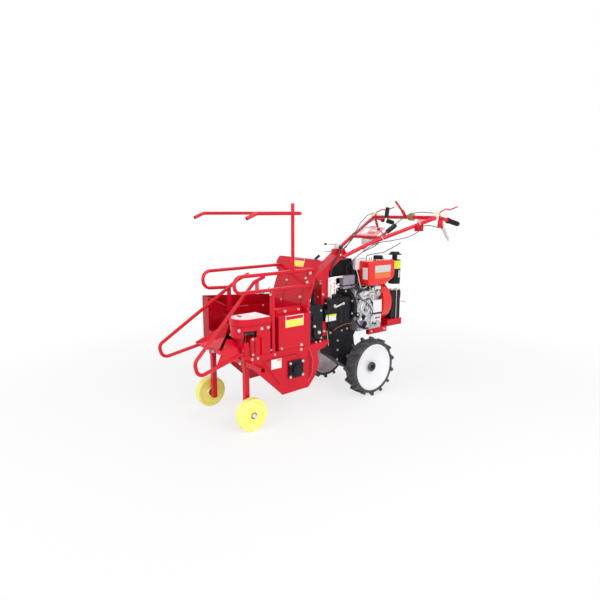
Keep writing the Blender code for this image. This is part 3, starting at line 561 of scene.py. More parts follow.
    def stand(
        self, body: str = "frame", slot: Optional[str] = None, stands_for: Sequence[str] = ()
    ) -> bpy.types.Object:
        """Finishes the piece.

        Args:
            body: the body that it rides on.
            slot: not used.
            stands_for: CAD nodes that it replaces.

        Returns:
            The finished object.
        """
        for edge in self.form.edges:
            if len(edge.link_faces) == 2:
                edge.smooth = edge.calc_face_angle(0.0) < SHARP
        mesh = bpy.data.meshes.new(self.name)
        self.form.to_mesh(mesh)
        self.form.free()
        for finish in self.finishes:
            mesh.materials.append(finish.material())
        piece = bpy.data.objects.new(self.name, mesh)
        bpy.context.scene.collection.objects.link(piece)
        piece.modifiers.new("normals", "WEIGHTED_NORMAL").keep_sharp = True
        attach(piece, body)
        if stands_for:
            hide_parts(*stands_for)
        LOG.info("%s: %d faces on %s", self.name, len(mesh.polygons), body)
        return piece


def soften(
    form: bmesh.types.BMesh, edges: Iterable[bmesh.types.BMEdge], radius: float, segments: int = 2
) -> None:
    """Rounds edges of a solid.

    Args:
        form: the solid.
        edges: edges to round.
        radius: their radius.
        segments: faces over the round.
    """
    bmesh.ops.bevel(
        form,
        geom=list(edges),
        offset=radius,
        segments=segments,
        affect="EDGES",
        profile=0.5,
        material=-1,
        clamp_overlap=True,
    )


@dataclass(frozen=True)
class Zone:
    """A box within a node whose faces have another finish.

    Attributes:
        finish: the number of that finish.
        low: lowest corner.
        high: highest corner.
    """

    finish: int
    low: Triple
    high: Triple

    def holds(self, place: Vector) -> bool:
        """Whether a place in the frame lies in the box."""
        low, high = at(*self.low), at(*self.high)
        return all(low[i] <= place[i] <= high[i] for i in range(3))


@dataclass(frozen=True)
class Dressed:
    """A CAD node shown as a welded copy with rounded edges and its finish.

    Attributes:
        node: the node's name.
        finishes: its finish, then those of its zones.
        radius: radius of its edges, 0 to leave them sharp.
        zones: boxes with another finish.
    """

    node: str
    finishes: tuple[Finish, ...]
    radius: float = 0.0006
    zones: tuple[Zone, ...] = ()

    def build(self) -> bpy.types.Object:
        """Builds the copy, which stands for its node.

        Returns:
            The finished object.
        """
        source = frame["nodes"][self.node]
        shape = Shape(f"{self.node}_dressed", *self.finishes)
        form = shape.form
        form.from_mesh(source.data)
        bmesh.ops.remove_doubles(form, verts=form.verts, dist=MERGE)
        bmesh.ops.dissolve_limit(form, angle_limit=math.radians(0.4), verts=form.verts, edges=form.edges)
        if self.radius:
            edges = [
                edge
                for edge in form.edges
                if len(edge.link_faces) == 2 and edge.calc_face_angle(0.0) > SHARP
            ]
            soften(form, edges, self.radius)
        for face in form.faces:
            face.smooth = True
            face.material_index = 0
            middle = face.calc_center_median()
            for zone in self.zones:
                if zone.holds(middle):
                    face.material_index = zone.finish
        return shape.stand(source["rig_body"], slot_of(self.node), (self.node,))


def slot_of(node: str) -> str:
    """The record's material slot of a node."""
    rows = {row["node"]: row["material_slot"] for row in frame["record"]["subparts"]}
    return rows[node]


SIDES = (("left", 1.0), ("right", -1.0))


@dataclass
class RunningGear:
    """The header's small wheels and the tractor's lugged drive wheels."""

    front_x: float = 0.256
    front_radius: float = 0.100
    front_width: float = 0.054
    drive_x: float = 0.2515
    drive_y: float = 1.001
    drive_radius: float = 0.205

    def build(self) -> None:
        """Builds both axles' trim."""
        for side, sign in SIDES:
            self._front(side, sign)
            self._drive(side, sign)

    def _front(self, side: str, sign: float) -> None:
        """Dresses a front wheel and its axle end.

        Args:
            side: left or right.
            sign: 1 for left, -1 for right.
        """
        way = (sign, 0.0, 0.0)
        centre = (sign * self.front_x, 0.0, self.front_radius)
        Dressed(f"front_wheel_{side}", (NYLON,), 0.0015).build()
        low, high = sorted((sign * 0.2825, sign * 0.3000))
        nut = Zone(1, (low, -0.020, 0.080), (high, 0.020, 0.120))
        Dressed(f"front_leg_{side}", (RED, WHITE), 0.0012, (nut,)).build()
        wheel = Shape(f"front_wheel_trim_{side}", DARK)
        for face, outer in ((sign, 0.0195), (-sign, 0.0245)):
            near = (centre[0] + face * self.front_width / 2, 0.0, self.front_radius)
            ring = [(0.0146, -0.002), (outer, -0.002), (outer, 0.0012), (0.0146, 0.0012)]
            wheel.turned(ring, near, (face, 0.0, 0.0), 0, 32)
        wheel.stand(f"front_wheel_{side}_body", "yellow_nylon")
        end = Shape(f"front_axle_end_{side}", ZINC)
        end.round_bar((sign * 0.2951, 0.0, self.front_radius), way, 0.0055, 0.0010, 0, 20, rim=0.0003)
        end.stand("frame", "bare_steel")

    def _drive(self, side: str, sign: float) -> None:
        """Dresses a drive wheel with its tyre.

        Args:
            side: left or right.
            sign: 1 for left, -1 for right.
        """
        way = (sign, 0.0, 0.0)
        Dressed(f"drive_tyre_{side}", (TYRE,), 0.0020).build()
        Dressed(f"drive_wheel_{side}", (WHITE,), 0.0008).build()
        hub = Shape(f"drive_hub_{side}", IRON, DARK, BLACK)
        face = self.drive_x + 0.020
        place = (sign * face, self.drive_y, self.drive_radius)
        ring = [(0.0175, 0.0), (0.034, 0.0), (0.034, 0.010), (0.031, 0.013), (0.0195, 0.013), (0.0175, 0.009)]
        hub.turned(ring, place, way, 0, 40)
        hub.turned([(0.0085, 0.0004), (0.0174, 0.0004), (0.0174, 0.008), (0.0085, 0.008)], place, way, 2, 32)
        # The black centre disc is painted shade in the hub's hole.
        hub.turned([(0.0005, 0.0003), (0.0084, 0.0003), (0.0084, 0.003), (0.0005, 0.003)], place, way, 1, 24)
        hub.stand(f"drive_wheel_{side}_body", "white_paint")
        ring = Shape(f"tyre_bead_{side}", TYRE)
        edge = self.drive_x + 0.0455
        for radius, width in ((0.1695, 0.0022), (0.1780, 0.0012)):
            profile = [(radius + width * math.cos(a), width * math.sin(a)) for a in angles(8)]
            ring.turned(profile, (sign * edge, self.drive_y, self.drive_radius), way, 0, 64)
        ring.stand(f"drive_wheel_{side}_body", "tyre_rubber")


def angles(count: int, start: float = 0.0, end: float = math.tau) -> list[float]:
    """Evenly spread angles, the end left out."""
    return [start + (end - start) * i / count for i in range(count)]


@dataclass
class Header:
    """The corn header with its guards, dividers, gathering unit and chopper."""

    cheek_x: float = 0.2
    deck_z: float = 0.434

    def build(self) -> None:
        """Builds the header's pieces."""
        for node in ("front_beam", "gather_tube_left", "gather_tube_right", "guard_left", "guard_right"):
            Dressed(node, (RED,), 0.0008).build()
        for node in ("stalk_fork", "snout_left", "snout_right", "corner_post", "deflector_panel"):
            Dressed(node, (RED,), 0.0005).build()
        # The whole ear box takes the darker red: painted shade.
        Dressed("ear_box", (DEEP,), 0.0005).build()
        for node in ("chopper_housing", "gathering_casing", "hitch_frame", "roll_bearing_front", "roll_bearing_rear"):
            Dressed(node, (RED,), 0.0005).build()
        Dressed("belt_cover", (RED,), 0.0).build()
        Dressed("drum_cover", (RED,), 0.0010).build()
        Dressed("header_gearbox", (BLACK,), 0.0).build()
        Dressed("gathering_chain", (OILED,), 0.0006).build()
        Dressed("chopper_rotor", (STEEL,), 0.0006).build()
        for side, _ in SIDES:
            Dressed(f"bearing_cover_{side}", (BLACK,), 0.0).build()
            Dressed(f"snapping_roll_{side}", (STEEL,), 0.0006).build()
        self._bolts()
        self._labels()
        self._seams()
        self._plates()
        self._hitch()
        self._rigging()

    def _bolts(self) -> None:
        """Builds the bolts of the header."""
        bolts = Shape("header_bolts", ZINC)
        # x, y, z, facing, size
        table = [
            (0.188, 0.1938, 0.796, Way.FRONT, 0.0075),
            (0.188, 0.1938, 0.448, Way.FRONT, 0.0075),
            (-0.086, 0.4730, 0.697, Way.PANEL_FOOT, 0.0065),
            (0.116, 0.4800, 0.740, Way.PANEL, 0.0080),
            (-0.072, 0.5120, 0.830, Way.PANEL, 0.0075),
            (0.121, 0.5230, 0.861, Way.PANEL, 0.0070),
            (0.146, 0.5150, 0.837, Way.PANEL, 0.0085),
            (0.154, 0.5360, 0.896, Way.PANEL, 0.0085),
            (0.150, 0.328, 0.669, Way.LEFT, 0.0080),
            (0.150, 0.437, 0.669, Way.LEFT, 0.0080),
            (0.205, 0.418, 0.449, Way.LEFT, 0.0080),
            (0.205, 0.262, 0.449, Way.LEFT, 0.0060),
            (0.200, 0.118, 0.597, Way.LEFT, 0.0075),
            (0.200, 0.164, 0.598, Way.LEFT, 0.0075),
            (0.168, -0.021, 0.597, Way.NOSE, 0.0075),
            (0.080, -0.027, 0.558, Way.FRONT, 0.0055),
            (0.2032, 0.050, 0.540, Way.LEFT, 0.0060),
            (0.2032, 0.050, 0.446, Way.LEFT, 0.0060),
            (0.2002, 0.045, 0.418, Way.LEFT, 0.0070),
            (0.2002, 0.086, 0.418, Way.LEFT, 0.0070),
            (0.168, -0.0152, 0.397, Way.FRONT, 0.0085),
            (-0.168, -0.0152, 0.397, Way.FRONT, 0.0085),
            (0.1775, 0.590, 0.498, Way.LEFT, 0.0100),
            (0.1605, 0.620, 0.454, Way.LEFT, 0.0070),
            (0.1605, 0.620, 0.640, Way.LEFT, 0.0060),
            (0.1605, 0.520, 0.640, Way.LEFT, 0.0060),
            (0.180, 0.600, 0.4345, Way.UP, 0.0070),
            (0.180, 0.560, 0.4345, Way.UP, 0.0070),
            (-0.180, 0.600, 0.4345, Way.UP, 0.0070),
            (-0.180, 0.560, 0.4345, Way.UP, 0.0070),
            (0.2002, 0.212, 0.418, Way.LEFT, 0.0060),
            (0.2002, 0.420, 0.416, Way.LEFT, 0.0075),
            (-0.2002, 0.212, 0.418, Way.RIGHT, 0.0060),
            (-0.2002, 0.420, 0.416, Way.RIGHT, 0.0075),
            (-0.234, 0.421, 0.640, Way.LEFT, 0.0060),
        ]
        for x, y, z, way, size in table:
            bolts.bolt((x, y, z), way.value, size)
        for _, sign in SIDES:
            for y in (0.321, 0.421):
                for z in (0.253, 0.343):
                    bolts.bolt((sign * 0.2164, y, z), (sign, 0.0, 0.0), 0.0075)
        bolts.stand("frame", "bare_steel")
        # The holes are dark discs and slots: painted shade inside them.
        holes = Shape("header_holes", DARK)
        for y in (0.577, 0.600, 0.623):
            holes.round_bar((0.2000, y, 0.412), Way.LEFT.value, 0.0030, 0.0004, 0, 16)
        for y, z in ((0.500, 0.409), (0.512, 0.395)):
            holes.tile((0.2000, y, z), Way.LEFT.value, (0.0, 0.7, 0.7), (0.012, 0.0024, 0.0004))
        holes.stand("frame", "red_paint")

    def _labels(self) -> None:
        """Builds the blank labels of the header."""
        left = Way.LEFT.value
        rear = Way.REAR.value
        labels = Shape("header_labels", PAPER, LEMON, RED, ORANGE)
        labels.tile((0.2050, 0.364, 0.6135), left, rear, (0.142, 0.074, 0.0004), 0)
        labels.tile((0.2054, 0.364, 0.5995), left, rear, (0.134, 0.044, 0.0003), 1)
        labels.tile((0.2054, 0.364, 0.6350), left, rear, (0.134, 0.022, 0.0003), 2)
        labels.tile((0.2000, 0.224, 0.356), left, rear, (0.078, 0.062, 0.0004), 0)
        labels.tile((0.2004, 0.244, 0.378), left, rear, (0.030, 0.010, 0.0003), 3)
        across = Way.LEFT.value
        labels.tile((0.006, 0.5565, 0.954), Way.PANEL.value, across, (0.108, 0.056, 0.0004), 0)
        labels.tile((0.006, 0.5530, 0.9458), (0.0, -0.940, 0.341), across, (0.102, 0.036, 0.0008), 1)
        labels.tile((0.006, 0.5628, 0.9728), (0.0, -0.940, 0.341), across, (0.102, 0.013, 0.0008), 2)
        labels.stand("frame", "red_paint")
        top = Shape("drum_label", PINK, DARK, LEMON)
        outline = [(0.115 + 0.078 * math.cos(a), 0.045 + 0.078 * math.sin(a)) for a in angles(24, math.pi, math.tau)]
        outline += [(0.193, 0.045), (0.193, 0.178), (0.037, 0.178), (0.037, 0.045)]
        top.slab(outline, 0.6631, 0.6636)
        spot = [(0.078 + 0.026 * math.cos(a), 0.036 + 0.013 * math.sin(a)) for a in angles(20)]
        top.slab(spot, 0.6636, 0.6639, 1)
        lip = Shape("drum_lip", RED, CRIMSON)
        rim = [(0.115 + 0.0880 * math.cos(a), 0.045 + 0.0880 * math.sin(a)) for a in angles(24, math.pi, math.tau)]
        lip.slab([*rim, (0.2030, 0.045), (0.2030, 0.189), (0.0270, 0.189)], 0.6220, 0.6633, 0, Way.UP, 0.0008)
        # A dark strip under the lip: a painted shadow.
        lip_shadow = [(0.115 + 0.0858 * math.cos(a), 0.045 + 0.0858 * math.sin(a)) for a in angles(24, math.pi, math.tau)]
        lip.slab([*lip_shadow, (0.2008, 0.045), (0.2008, 0.1868), (0.0292, 0.1868)], 0.6196, 0.6225, 1, Way.UP)
        lip.stand("frame", "red_paint")
        top.block((0.132, 0.000, 0.6636), (0.136, 0.150, 0.6639), 2)
        top.block((0.150, 0.020, 0.6636), (0.1525, 0.170, 0.6639), 1)
        top.block((0.060, 0.086, 0.6636), (0.110, 0.089, 0.6639), 1)
        top.stand("frame", "red_paint")

    def _seams(self) -> None:
        """Builds the seams of the deflector panel."""
        seams = Shape("panel_seams", DARK)
        # x of each seam on the panel
        for x in (-0.066, 0.124):
            line = [(x, 0.4688, 0.660), (x, 0.4764, 0.733), (x, 0.5455, 0.924)]
            for first, last in zip(line, line[1:]):
                self._strip(seams, first, last, 0.0030)
        seams.stand("frame", "red_paint")

    def _plates(self) -> None:
        """Builds the apron under the panel, painted shadow lines along the cheeks' pressed lines with painted
        highlight lines on their folds and painted shade on their bent bands, and a painted highlight and a painted
        shadow line on the ear box.
        """
        plates = Shape("header_plates", RED, ROSE, CRIMSON, DEEP)
        plates.block((-0.198, 0.4695, 0.585), (0.092, 0.4720, 0.6545), 0)
        # y, z of the pressed outline, drawn as a painted shadow line, of the bent band, in painted shade, and of the
        # fold beside it, drawn as a painted highlight line
        outline = [(0.250, 0.215), (0.127, 0.379), (0.138, 0.390), (0.366, 0.395), (0.397, 0.379)]
        band = [(0.444, 0.400), (0.486, 0.415), (0.512, 0.345), (0.518, 0.326), (0.514, 0.260), (0.500, 0.215)]
        band += [(0.484, 0.196), (0.478, 0.238), (0.486, 0.311), (0.470, 0.350)]
        fold = [(0.486, 0.418), (0.520, 0.326), (0.513, 0.240), (0.478, 0.182)]
        for _, sign in SIDES:
            x = sign * 0.2001
            for line, width, finish in ((outline, 0.0036, 2), (fold, 0.0026, 1)):
                for first, last in zip(line, line[1:]):
                    start, end = Vector((x, *first)), Vector((x, *last))
                    size = ((end - start).length, width, 0.0004)
                    plates.tile((start + end) / 2, (sign, 0.0, 0.0), end - start, size, finish)
            near, far = sorted((x, x + sign * 0.0003))
            plates.slab(band, near, far, 3, Way.LEFT)
        # y, z of the ear box's top edge, drawn as a painted highlight, and of its pressed line, drawn as a painted
        # shadow, and their finish
        edge = [(-0.008, 0.7445), (0.052, 0.7135), (0.151, 0.6585), (0.300, 0.6560)]
        press = [(0.0165, 0.720), (0.0165, 0.536), (0.0290, 0.5195), (0.140, 0.5165), (0.1550, 0.530), (0.1535, 0.640)]
        for line, x, finish in ((edge, -0.2334, 1), (press, -0.2334, 2)):
            for first, last in zip(line, line[1:]):
                start, end = Vector((x, *first)), Vector((x, *last))
                size = ((end - start).length, 0.0030, 0.0005)
                plates.tile((start + end) / 2, Way.LEFT.value, end - start, size, finish)
        plates.stand("frame", "red_paint")

    def _hitch(self) -> None:
        """Builds the hitch lugs behind the header's gearbox and the boot on top of it."""
        hitch = Shape("hitch_lugs", RED, ZINC)
        for _, sign in SIDES:
            near, far = sorted((sign * 0.0700, sign * 0.0980))
            hitch.block((near, 0.6405, 0.452), (far, 0.7150, 0.484), 0, 0.002)
            hitch.bolt((sign * 0.0981, 0.702, 0.474), (sign, 0.0, 0.0), 0.0070, 1)
            hitch.bolt((sign * 0.0981, 0.662, 0.464), (sign, 0.0, 0.0), 0.0070, 1)
        hitch.stand("frame", "red_paint")
        flap = Shape("row_flap", RUBBER)
        flap.block((-0.106, 0.004, 0.440), (-0.101, 0.090, 0.512), 0, 0.001)
        flap.stand("frame", "black_rubber")
        boot = Shape("gearbox_boot", RUBBER, BLACK, ZINC)
        for k in range(7):
            z = 0.6785 + 0.0155 * k
            boot.round_bar((0.090, 0.607, z), Way.UP.value, 0.0185 - 0.0012 * k, 0.0120, 0, 24, 0.0160 - 0.0012 * k, 0.001)
            boot.round_bar((0.090, 0.607, z + 0.0115), Way.UP.value, 0.0130 - 0.0012 * k, 0.0045, 0, 20)
        boot.line([(0.090, 0.607, 0.784), (0.084, 0.618, 0.830), (0.062, 0.640, 0.860), (0.030, 0.668, 0.872)], 0.0045, 0)
        boot.round_bar((0.1602, 0.560, 0.540), Way.LEFT.value, 0.020, 0.006, 1, 24, rim=0.002)
        boot.bolt((0.1662, 0.560, 0.540), Way.LEFT.value, 0.0085, 2)
        boot.stand("frame", "black_paint")

    @staticmethod
    def _strip(shape: Shape, first: Triple, last: Triple, width: float) -> None:
        """Adds a thin strip that lies on the panel between two places."""
        start, end = Vector(first), Vector(last)
        along = (end - start).normalized()
        out = Vector((1.0, 0.0, 0.0)).cross(along)
        if out.y > 0:
            out.negate()
        shape.tile((start + end) / 2, out, along, ((end - start).length, width, 0.0006))

    def _rigging(self) -> None:
        """Builds the wires that hang on the header."""
        wires = Shape("header_wires", WIRE)
        wires.line([(-0.150, 0.055, 0.640), (-0.100, 0.080, 0.618), (0.020, 0.130, 0.622), (0.060, 0.185, 0.640)], 0.0016)
        wires.line([(0.150, 0.118, 0.8220), (0.150, 0.150, 0.800), (0.145, 0.190, 0.812), (0.150, 0.215, 0.838)], 0.0020)
        wires.stand("frame", "black_rubber")


@dataclass
class Tractor:
    """The walking tractor's gearbox and its single-cylinder engine."""

    def build(self) -> None:
        """Builds the tractor's pieces."""
        Dressed("gearbox_case", (BLACK,), 0.0).build()
        Dressed("chain_case", (BLACK,), 0.0010).build()
        barrel = Zone(1, (-0.130, 1.030, 0.7360), (0.030, 1.240, 0.9050))
        Dressed("engine", (ALLOY, IRON), 0.0, (barrel,)).build()
        Dressed("flywheel_shroud", (TANK,), 0.0020).build()
        tank = Shape("fuel_tank_dressed", TANK)
        outline = [(1.070, 0.7605), (1.238, 0.7605), (1.322, 0.795), (1.345, 0.820), (1.345, 0.940), (1.070, 0.940)]
        tank.slab(outline, 0.0250, 0.1650, 0, Way.LEFT, 0.021)
        tank.stand("frame", "tank_paint", ("fuel_tank",))
        Dressed("fuel_cap", (PLASTIC,), 0.0020).build()
        Dressed("control_box", (GREY,), 0.0).build()
        Dressed("air_cleaner", (PLASTIC,), 0.0012).build()
        Dressed("muffler", (SOOT,), 0.0).build()
        Dressed("battery", (PLASTIC,), 0.0).build()
        Dressed("engine_rails", (RED,), 0.0010).build()
        Dressed("shift_linkage", (WHITE,), 0.0005).build()
        self._bolts()
        self._labels()
        self._engine_side()
        self._engine_top()
        self._battery()
        self._gearbox()

    def _bolts(self) -> None:
        """Builds the bolts of the cases."""
        bolts = Shape("case_bolts", ZINC)
        for angle in angles(8, math.radians(22.5), math.radians(382.5)):
            place = (0.118 * math.cos(angle), 0.9594, 0.615 + 0.118 * math.sin(angle))
            bolts.bolt(place, Way.FRONT.value, 0.0075)
        # y, z of the chain case's bolts
        for y, z in ((0.872, 0.371), (0.870, 0.301), (0.868, 0.232), (0.800, 0.440), (0.910, 0.440), (0.962, 0.448)):
            for _, sign in SIDES:
                bolts.bolt((sign * 0.0552, y, z), (sign, 0.0, 0.0), 0.0070)
        for angle in angles(6, math.radians(15), math.radians(375)):
            place = (0.1292, 1.078 + 0.076 * math.cos(angle), 0.600 + 0.076 * math.sin(angle))
            bolts.bolt(place, Way.LEFT.value, 0.0060)
        for y in (0.765, 0.800):
            bolts.bolt((0.0, 0.7698, 0.060 + y), Way.FRONT.value, 0.0065)
        bolts.bolt((0.060, 0.7498, 0.660), Way.FRONT.value, 0.0070)
        bolts.bolt((-0.060, 0.7498, 0.660), Way.FRONT.value, 0.0070)
        for y in (1.160, 1.300):
            bolts.bolt((0.1102, y, 0.408), Way.LEFT.value, 0.0070)
            bolts.bolt((-0.1102, y, 0.408), Way.RIGHT.value, 0.0070)
        bolts.stand("frame", "bare_steel")

    def _labels(self) -> None:
        """Builds the blank labels of the tractor."""
        left = Way.LEFT.value
        rear = Way.REAR.value
        labels = Shape("tractor_labels", PAPER, SILVER, ORANGE, LIME, LEMON, ROSE)
        labels.tile((0.1650, 1.2115, 0.8800), left, rear, (0.166, 0.050, 0.0004), 1, 0.0001)
        labels.tile((0.1650, 1.2115, 0.8325), left, rear, (0.166, 0.044, 0.0004), 2, 0.0001)
        labels.tile((0.124, 1.0700, 0.8500), Way.FRONT.value, left, (0.050, 0.085, 0.0004), 0, 0.0001)
        labels.tile((0.1332, 1.198, 0.598), left, rear, (0.088, 0.090, 0.0006), 0, 0.0002)
        labels.tile((0.0952, 0.768, 0.5530), left, rear, (0.096, 0.034, 0.0005), 0, 0.0001)
        labels.tile((0.0952, 0.772, 0.5770), left, rear, (0.096, 0.014, 0.0005), 3, 0.0001)
        labels.stand("frame", "tank_paint")
        band = Shape("cleaner_band", LIME)
        profile = [(0.0462, 0.0), (0.0470, 0.0), (0.0470, 0.062), (0.0462, 0.062)]
        band.turned(profile, (0.060, 1.455, 0.858), Way.UP.value, 0, 40)
        band.stand("frame", "black_plastic")

    def _engine_side(self) -> None:
        """Builds the pump, pipes, ribs, levers and plugs on the crankcase's left side, with patches of painted shade
        and painted highlight on its alloy.
        """
        left = Way.LEFT.value
        side = Shape("engine_side", ALLOY, STEEL, PLASTIC, OILED, ZINC, DARK, PEARL, LILAC)
        # Finish 5 paints shade into the gaps, 6 paints highlights and 7 paints shade on the alloy.
        # y, z, width, height, first x, second x, finish
        for y, z, width, height, near, far, finish in (
            (1.012, 0.620, 0.052, 0.200, 0.1180, 0.1200, 7),
            (1.132, 0.728, 0.046, 0.050, 0.1000, 0.1220, 5),
            (1.190, 0.738, 0.060, 0.026, 0.1180, 0.1400, 6),
            (1.072, 0.706, 0.070, 0.030, 0.1190, 0.1330, 6),
            (1.058, 0.636, 0.040, 0.090, 0.1290, 0.1320, 6),
            (1.185, 0.500, 0.104, 0.076, 0.1180, 0.1340, 6),
            (1.030, 0.520, 0.030, 0.018, 0.1180, 0.1320, 6),
            (1.075, 0.520, 0.024, 0.014, 0.1180, 0.1330, 6),
            (1.232, 0.690, 0.016, 0.060, 0.1180, 0.1210, 5),
            (1.016, 0.470, 0.060, 0.030, 0.1230, 0.1260, 7),
            (1.102, 0.556, 0.060, 0.010, 0.1290, 0.1310, 5),
            (1.022, 0.728, 0.046, 0.030, 0.1180, 0.1240, 5),
            (1.096, 0.744, 0.034, 0.018, 0.1180, 0.1260, 5),
            (1.150, 0.700, 0.030, 0.020, 0.1290, 0.1345, 5),
            (1.012, 0.664, 0.036, 0.014, 0.1195, 0.1245, 5),
            (1.010, 0.590, 0.030, 0.012, 0.1195, 0.1245, 5),
            (1.216, 0.640, 0.014, 0.100, 0.1290, 0.1320, 5),
            (1.186, 0.548, 0.108, 0.008, 0.1290, 0.1345, 5),
            (1.052, 0.582, 0.050, 0.010, 0.1290, 0.1330, 5),
            (1.040, 0.490, 0.030, 0.040, 0.1290, 0.1330, 7),
            (1.196, 0.512, 0.050, 0.012, 0.1340, 0.1355, 7),
            (1.176, 0.470, 0.026, 0.014, 0.1340, 0.1360, 5),
        ):
            side.block((near, y - width / 2, z - height / 2), (far, y + width / 2, z + height / 2), finish, 0.0015)
        side.slab([(1.128, 0.648), (1.150, 0.642), (1.174, 0.585), (1.158, 0.578)], 0.1290, 0.1310, 5, Way.LEFT)
        side.turned([(0.023, 0.0), (0.030, 0.0), (0.030, 0.006), (0.023, 0.006)], (0.1320, 1.098, 0.640), left, 3, 32)
        side.round_bar((0.1310, 1.098, 0.640), left, 0.0225, 0.004, 6, 28)
        side.round_bar((0.1200, 0.999, 0.556), left, 0.021, 0.012, 2, 28, 0.018, 0.002)
        side.bolt((0.1321, 0.994, 0.560), left, 0.0060, 4)
        side.block((0.124, 1.054, 0.470), (0.142, 1.082, 0.498), 2, 0.003, ("X", 0.35))
        side.line([(0.124, 0.990, 0.512), (0.130, 1.020, 0.470), (0.130, 1.060, 0.450), (0.127, 1.110, 0.442)], 0.0055, 2)
        for y, z in ((1.018, 0.700), (1.016, 0.640), (1.020, 0.590), (1.090, 0.700), (1.150, 0.530), (1.222, 0.530)):
            side.bolt((0.1335, y, z), left, 0.0060, 4)
        for y, z in ((1.140, 0.470), (1.228, 0.470), (1.205, 0.745), (1.172, 0.745), (1.050, 0.716)):
            side.bolt((0.1340, y, z), left, 0.0050, 1)
        for k in range(6):
            z = 0.536 + 0.030 * k
            side.block((0.112, 0.992, z), (0.1245, 1.014, z + 0.008), 0, 0.0015)
        for k in range(4):
            y = 1.020 + 0.055 * k
            side.block((0.119, y, 0.438), (0.1285, y + 0.008, 0.512), 0, 0.0015)
        side.turned([(0.030, 0.0), (0.056, 0.0), (0.056, 0.006), (0.050, 0.010), (0.034, 0.010), (0.030, 0.006)], (0.1285, 1.078, 0.600), left, 0, 36)
        side.round_bar((0.1290, 1.078, 0.600), left, 0.022, 0.010, 1, 28, rim=0.002)
        side.round_bar((0.1390, 1.078, 0.600), left, 0.010, 0.006, 4, 6, rim=0.001)
        side.round_bar((0.118, 1.030, 0.694), left, 0.026, 0.016, 0, 28, 0.022, 0.002)
        side.round_bar((0.118, 1.196, 0.700), left, 0.024, 0.024, 0, 24, 0.020, 0.002)
        side.block((0.100, 1.100, 0.668), (0.140, 1.166, 0.726), 0, 0.006)
        side.round_bar((0.128, 1.118, 0.724), Way.UP.value, 0.010, 0.026, 1, 16, 0.008, 0.001)
        side.round_bar((0.128, 1.146, 0.724), Way.UP.value, 0.009, 0.020, 4, 6, rim=0.001)
        side.round_bar((0.140, 1.132, 0.700), left, 0.013, 0.012, 1, 20, rim=0.001)
        side.block((0.1500, 1.090, 0.694), (0.1530, 1.142, 0.706), 4, 0.001)
        side.block((0.1450, 1.128, 0.640), (0.1480, 1.138, 0.706), 4, 0.001)
        side.round_bar((0.126, 1.052, 0.520), (0.5, 0.0, 0.86), 0.014, 0.030, 2, 20, 0.012, 0.003)
        side.round_bar((0.124, 1.150, 0.476), left, 0.012, 0.012, 3, 6, rim=0.001)
        side.round_bar((0.124, 1.060, 0.470), left, 0.020, 0.014, 2, 24, 0.017, 0.002)
        side.line([(0.128, 1.118, 0.750), (0.136, 1.095, 0.764), (0.1350, 1.050, 0.748), (0.100, 1.030, 0.756), (0.010, 1.036, 0.800), (-0.020, 1.038, 0.880)], 0.0032, 1)
        side.line([(0.150, 1.140, 0.700), (0.158, 1.170, 0.680), (0.152, 1.205, 0.690), (0.126, 1.235, 0.716)], 0.0018, 4)
        side.line([(0.140, 1.110, 0.655), (0.155, 1.080, 0.668), (0.140, 1.040, 0.662), (0.126, 1.020, 0.640)], 0.0026, 3)
        side.stand("frame", "cast_alloy")
        hoses = Shape("engine_hoses", WIRE, PLASTIC, SILVER)
        hoses.line([(0.110, 1.150, 0.7606), (0.128, 1.160, 0.742), (0.138, 1.186, 0.722), (0.132, 1.205, 0.700)], 0.0045, 0)
        cable = [(0.060, 1.045, 0.860), (0.100, 1.020, 0.800), (0.130, 0.975, 0.745), (0.140, 1.016, 0.679)]
        cable += [(0.145, 1.096, 0.620), (0.143, 1.133, 0.565), (0.140, 1.128, 0.530)]
        hoses.line(cable, 0.0028, 0)
        cable = [(0.052, 0.810, 0.917), (0.052, 0.885, 1.007), (0.056, 0.960, 1.064), (0.066, 1.058, 1.154)]
        cable += [(0.080, 1.150, 1.215), (0.100, 1.260, 1.262)]
        hoses.line(cable, 0.0034, 0)
        hoses.round_bar((0.049, 0.892, 1.045), Way.LEFT.value, 0.0150, 0.014, 0, 24, 0.012, 0.002)
        hoses.line([(0.056, 0.892, 1.040), (0.056, 0.850, 0.960), (0.054, 0.815, 0.905), (0.053, 0.800, 0.850)], 0.0040, 0)
        hoses.line([(0.040, 1.048, 0.905), (0.075, 1.040, 0.850), (0.100, 1.036, 0.790), (0.112, 1.040, 0.745)], 0.0032, 2)
        hoses.line([(0.020, 1.046, 0.880), (0.060, 1.036, 0.820), (0.090, 1.030, 0.770), (0.108, 1.024, 0.735)], 0.0036, 1)
        hoses.line([(0.062, 0.985, 0.770), (0.100, 0.990, 0.748), (0.130, 1.040, 0.736), (0.140, 1.110, 0.742), (0.120, 1.180, 0.752)], 0.0030, 0)
        hoses.line([(0.020, 0.922, 0.758), (0.012, 0.900, 0.770), (0.000, 0.880, 0.790), (-0.012, 0.868, 0.830)], 0.0026, 0)
        hoses.stand("frame", "black_rubber")

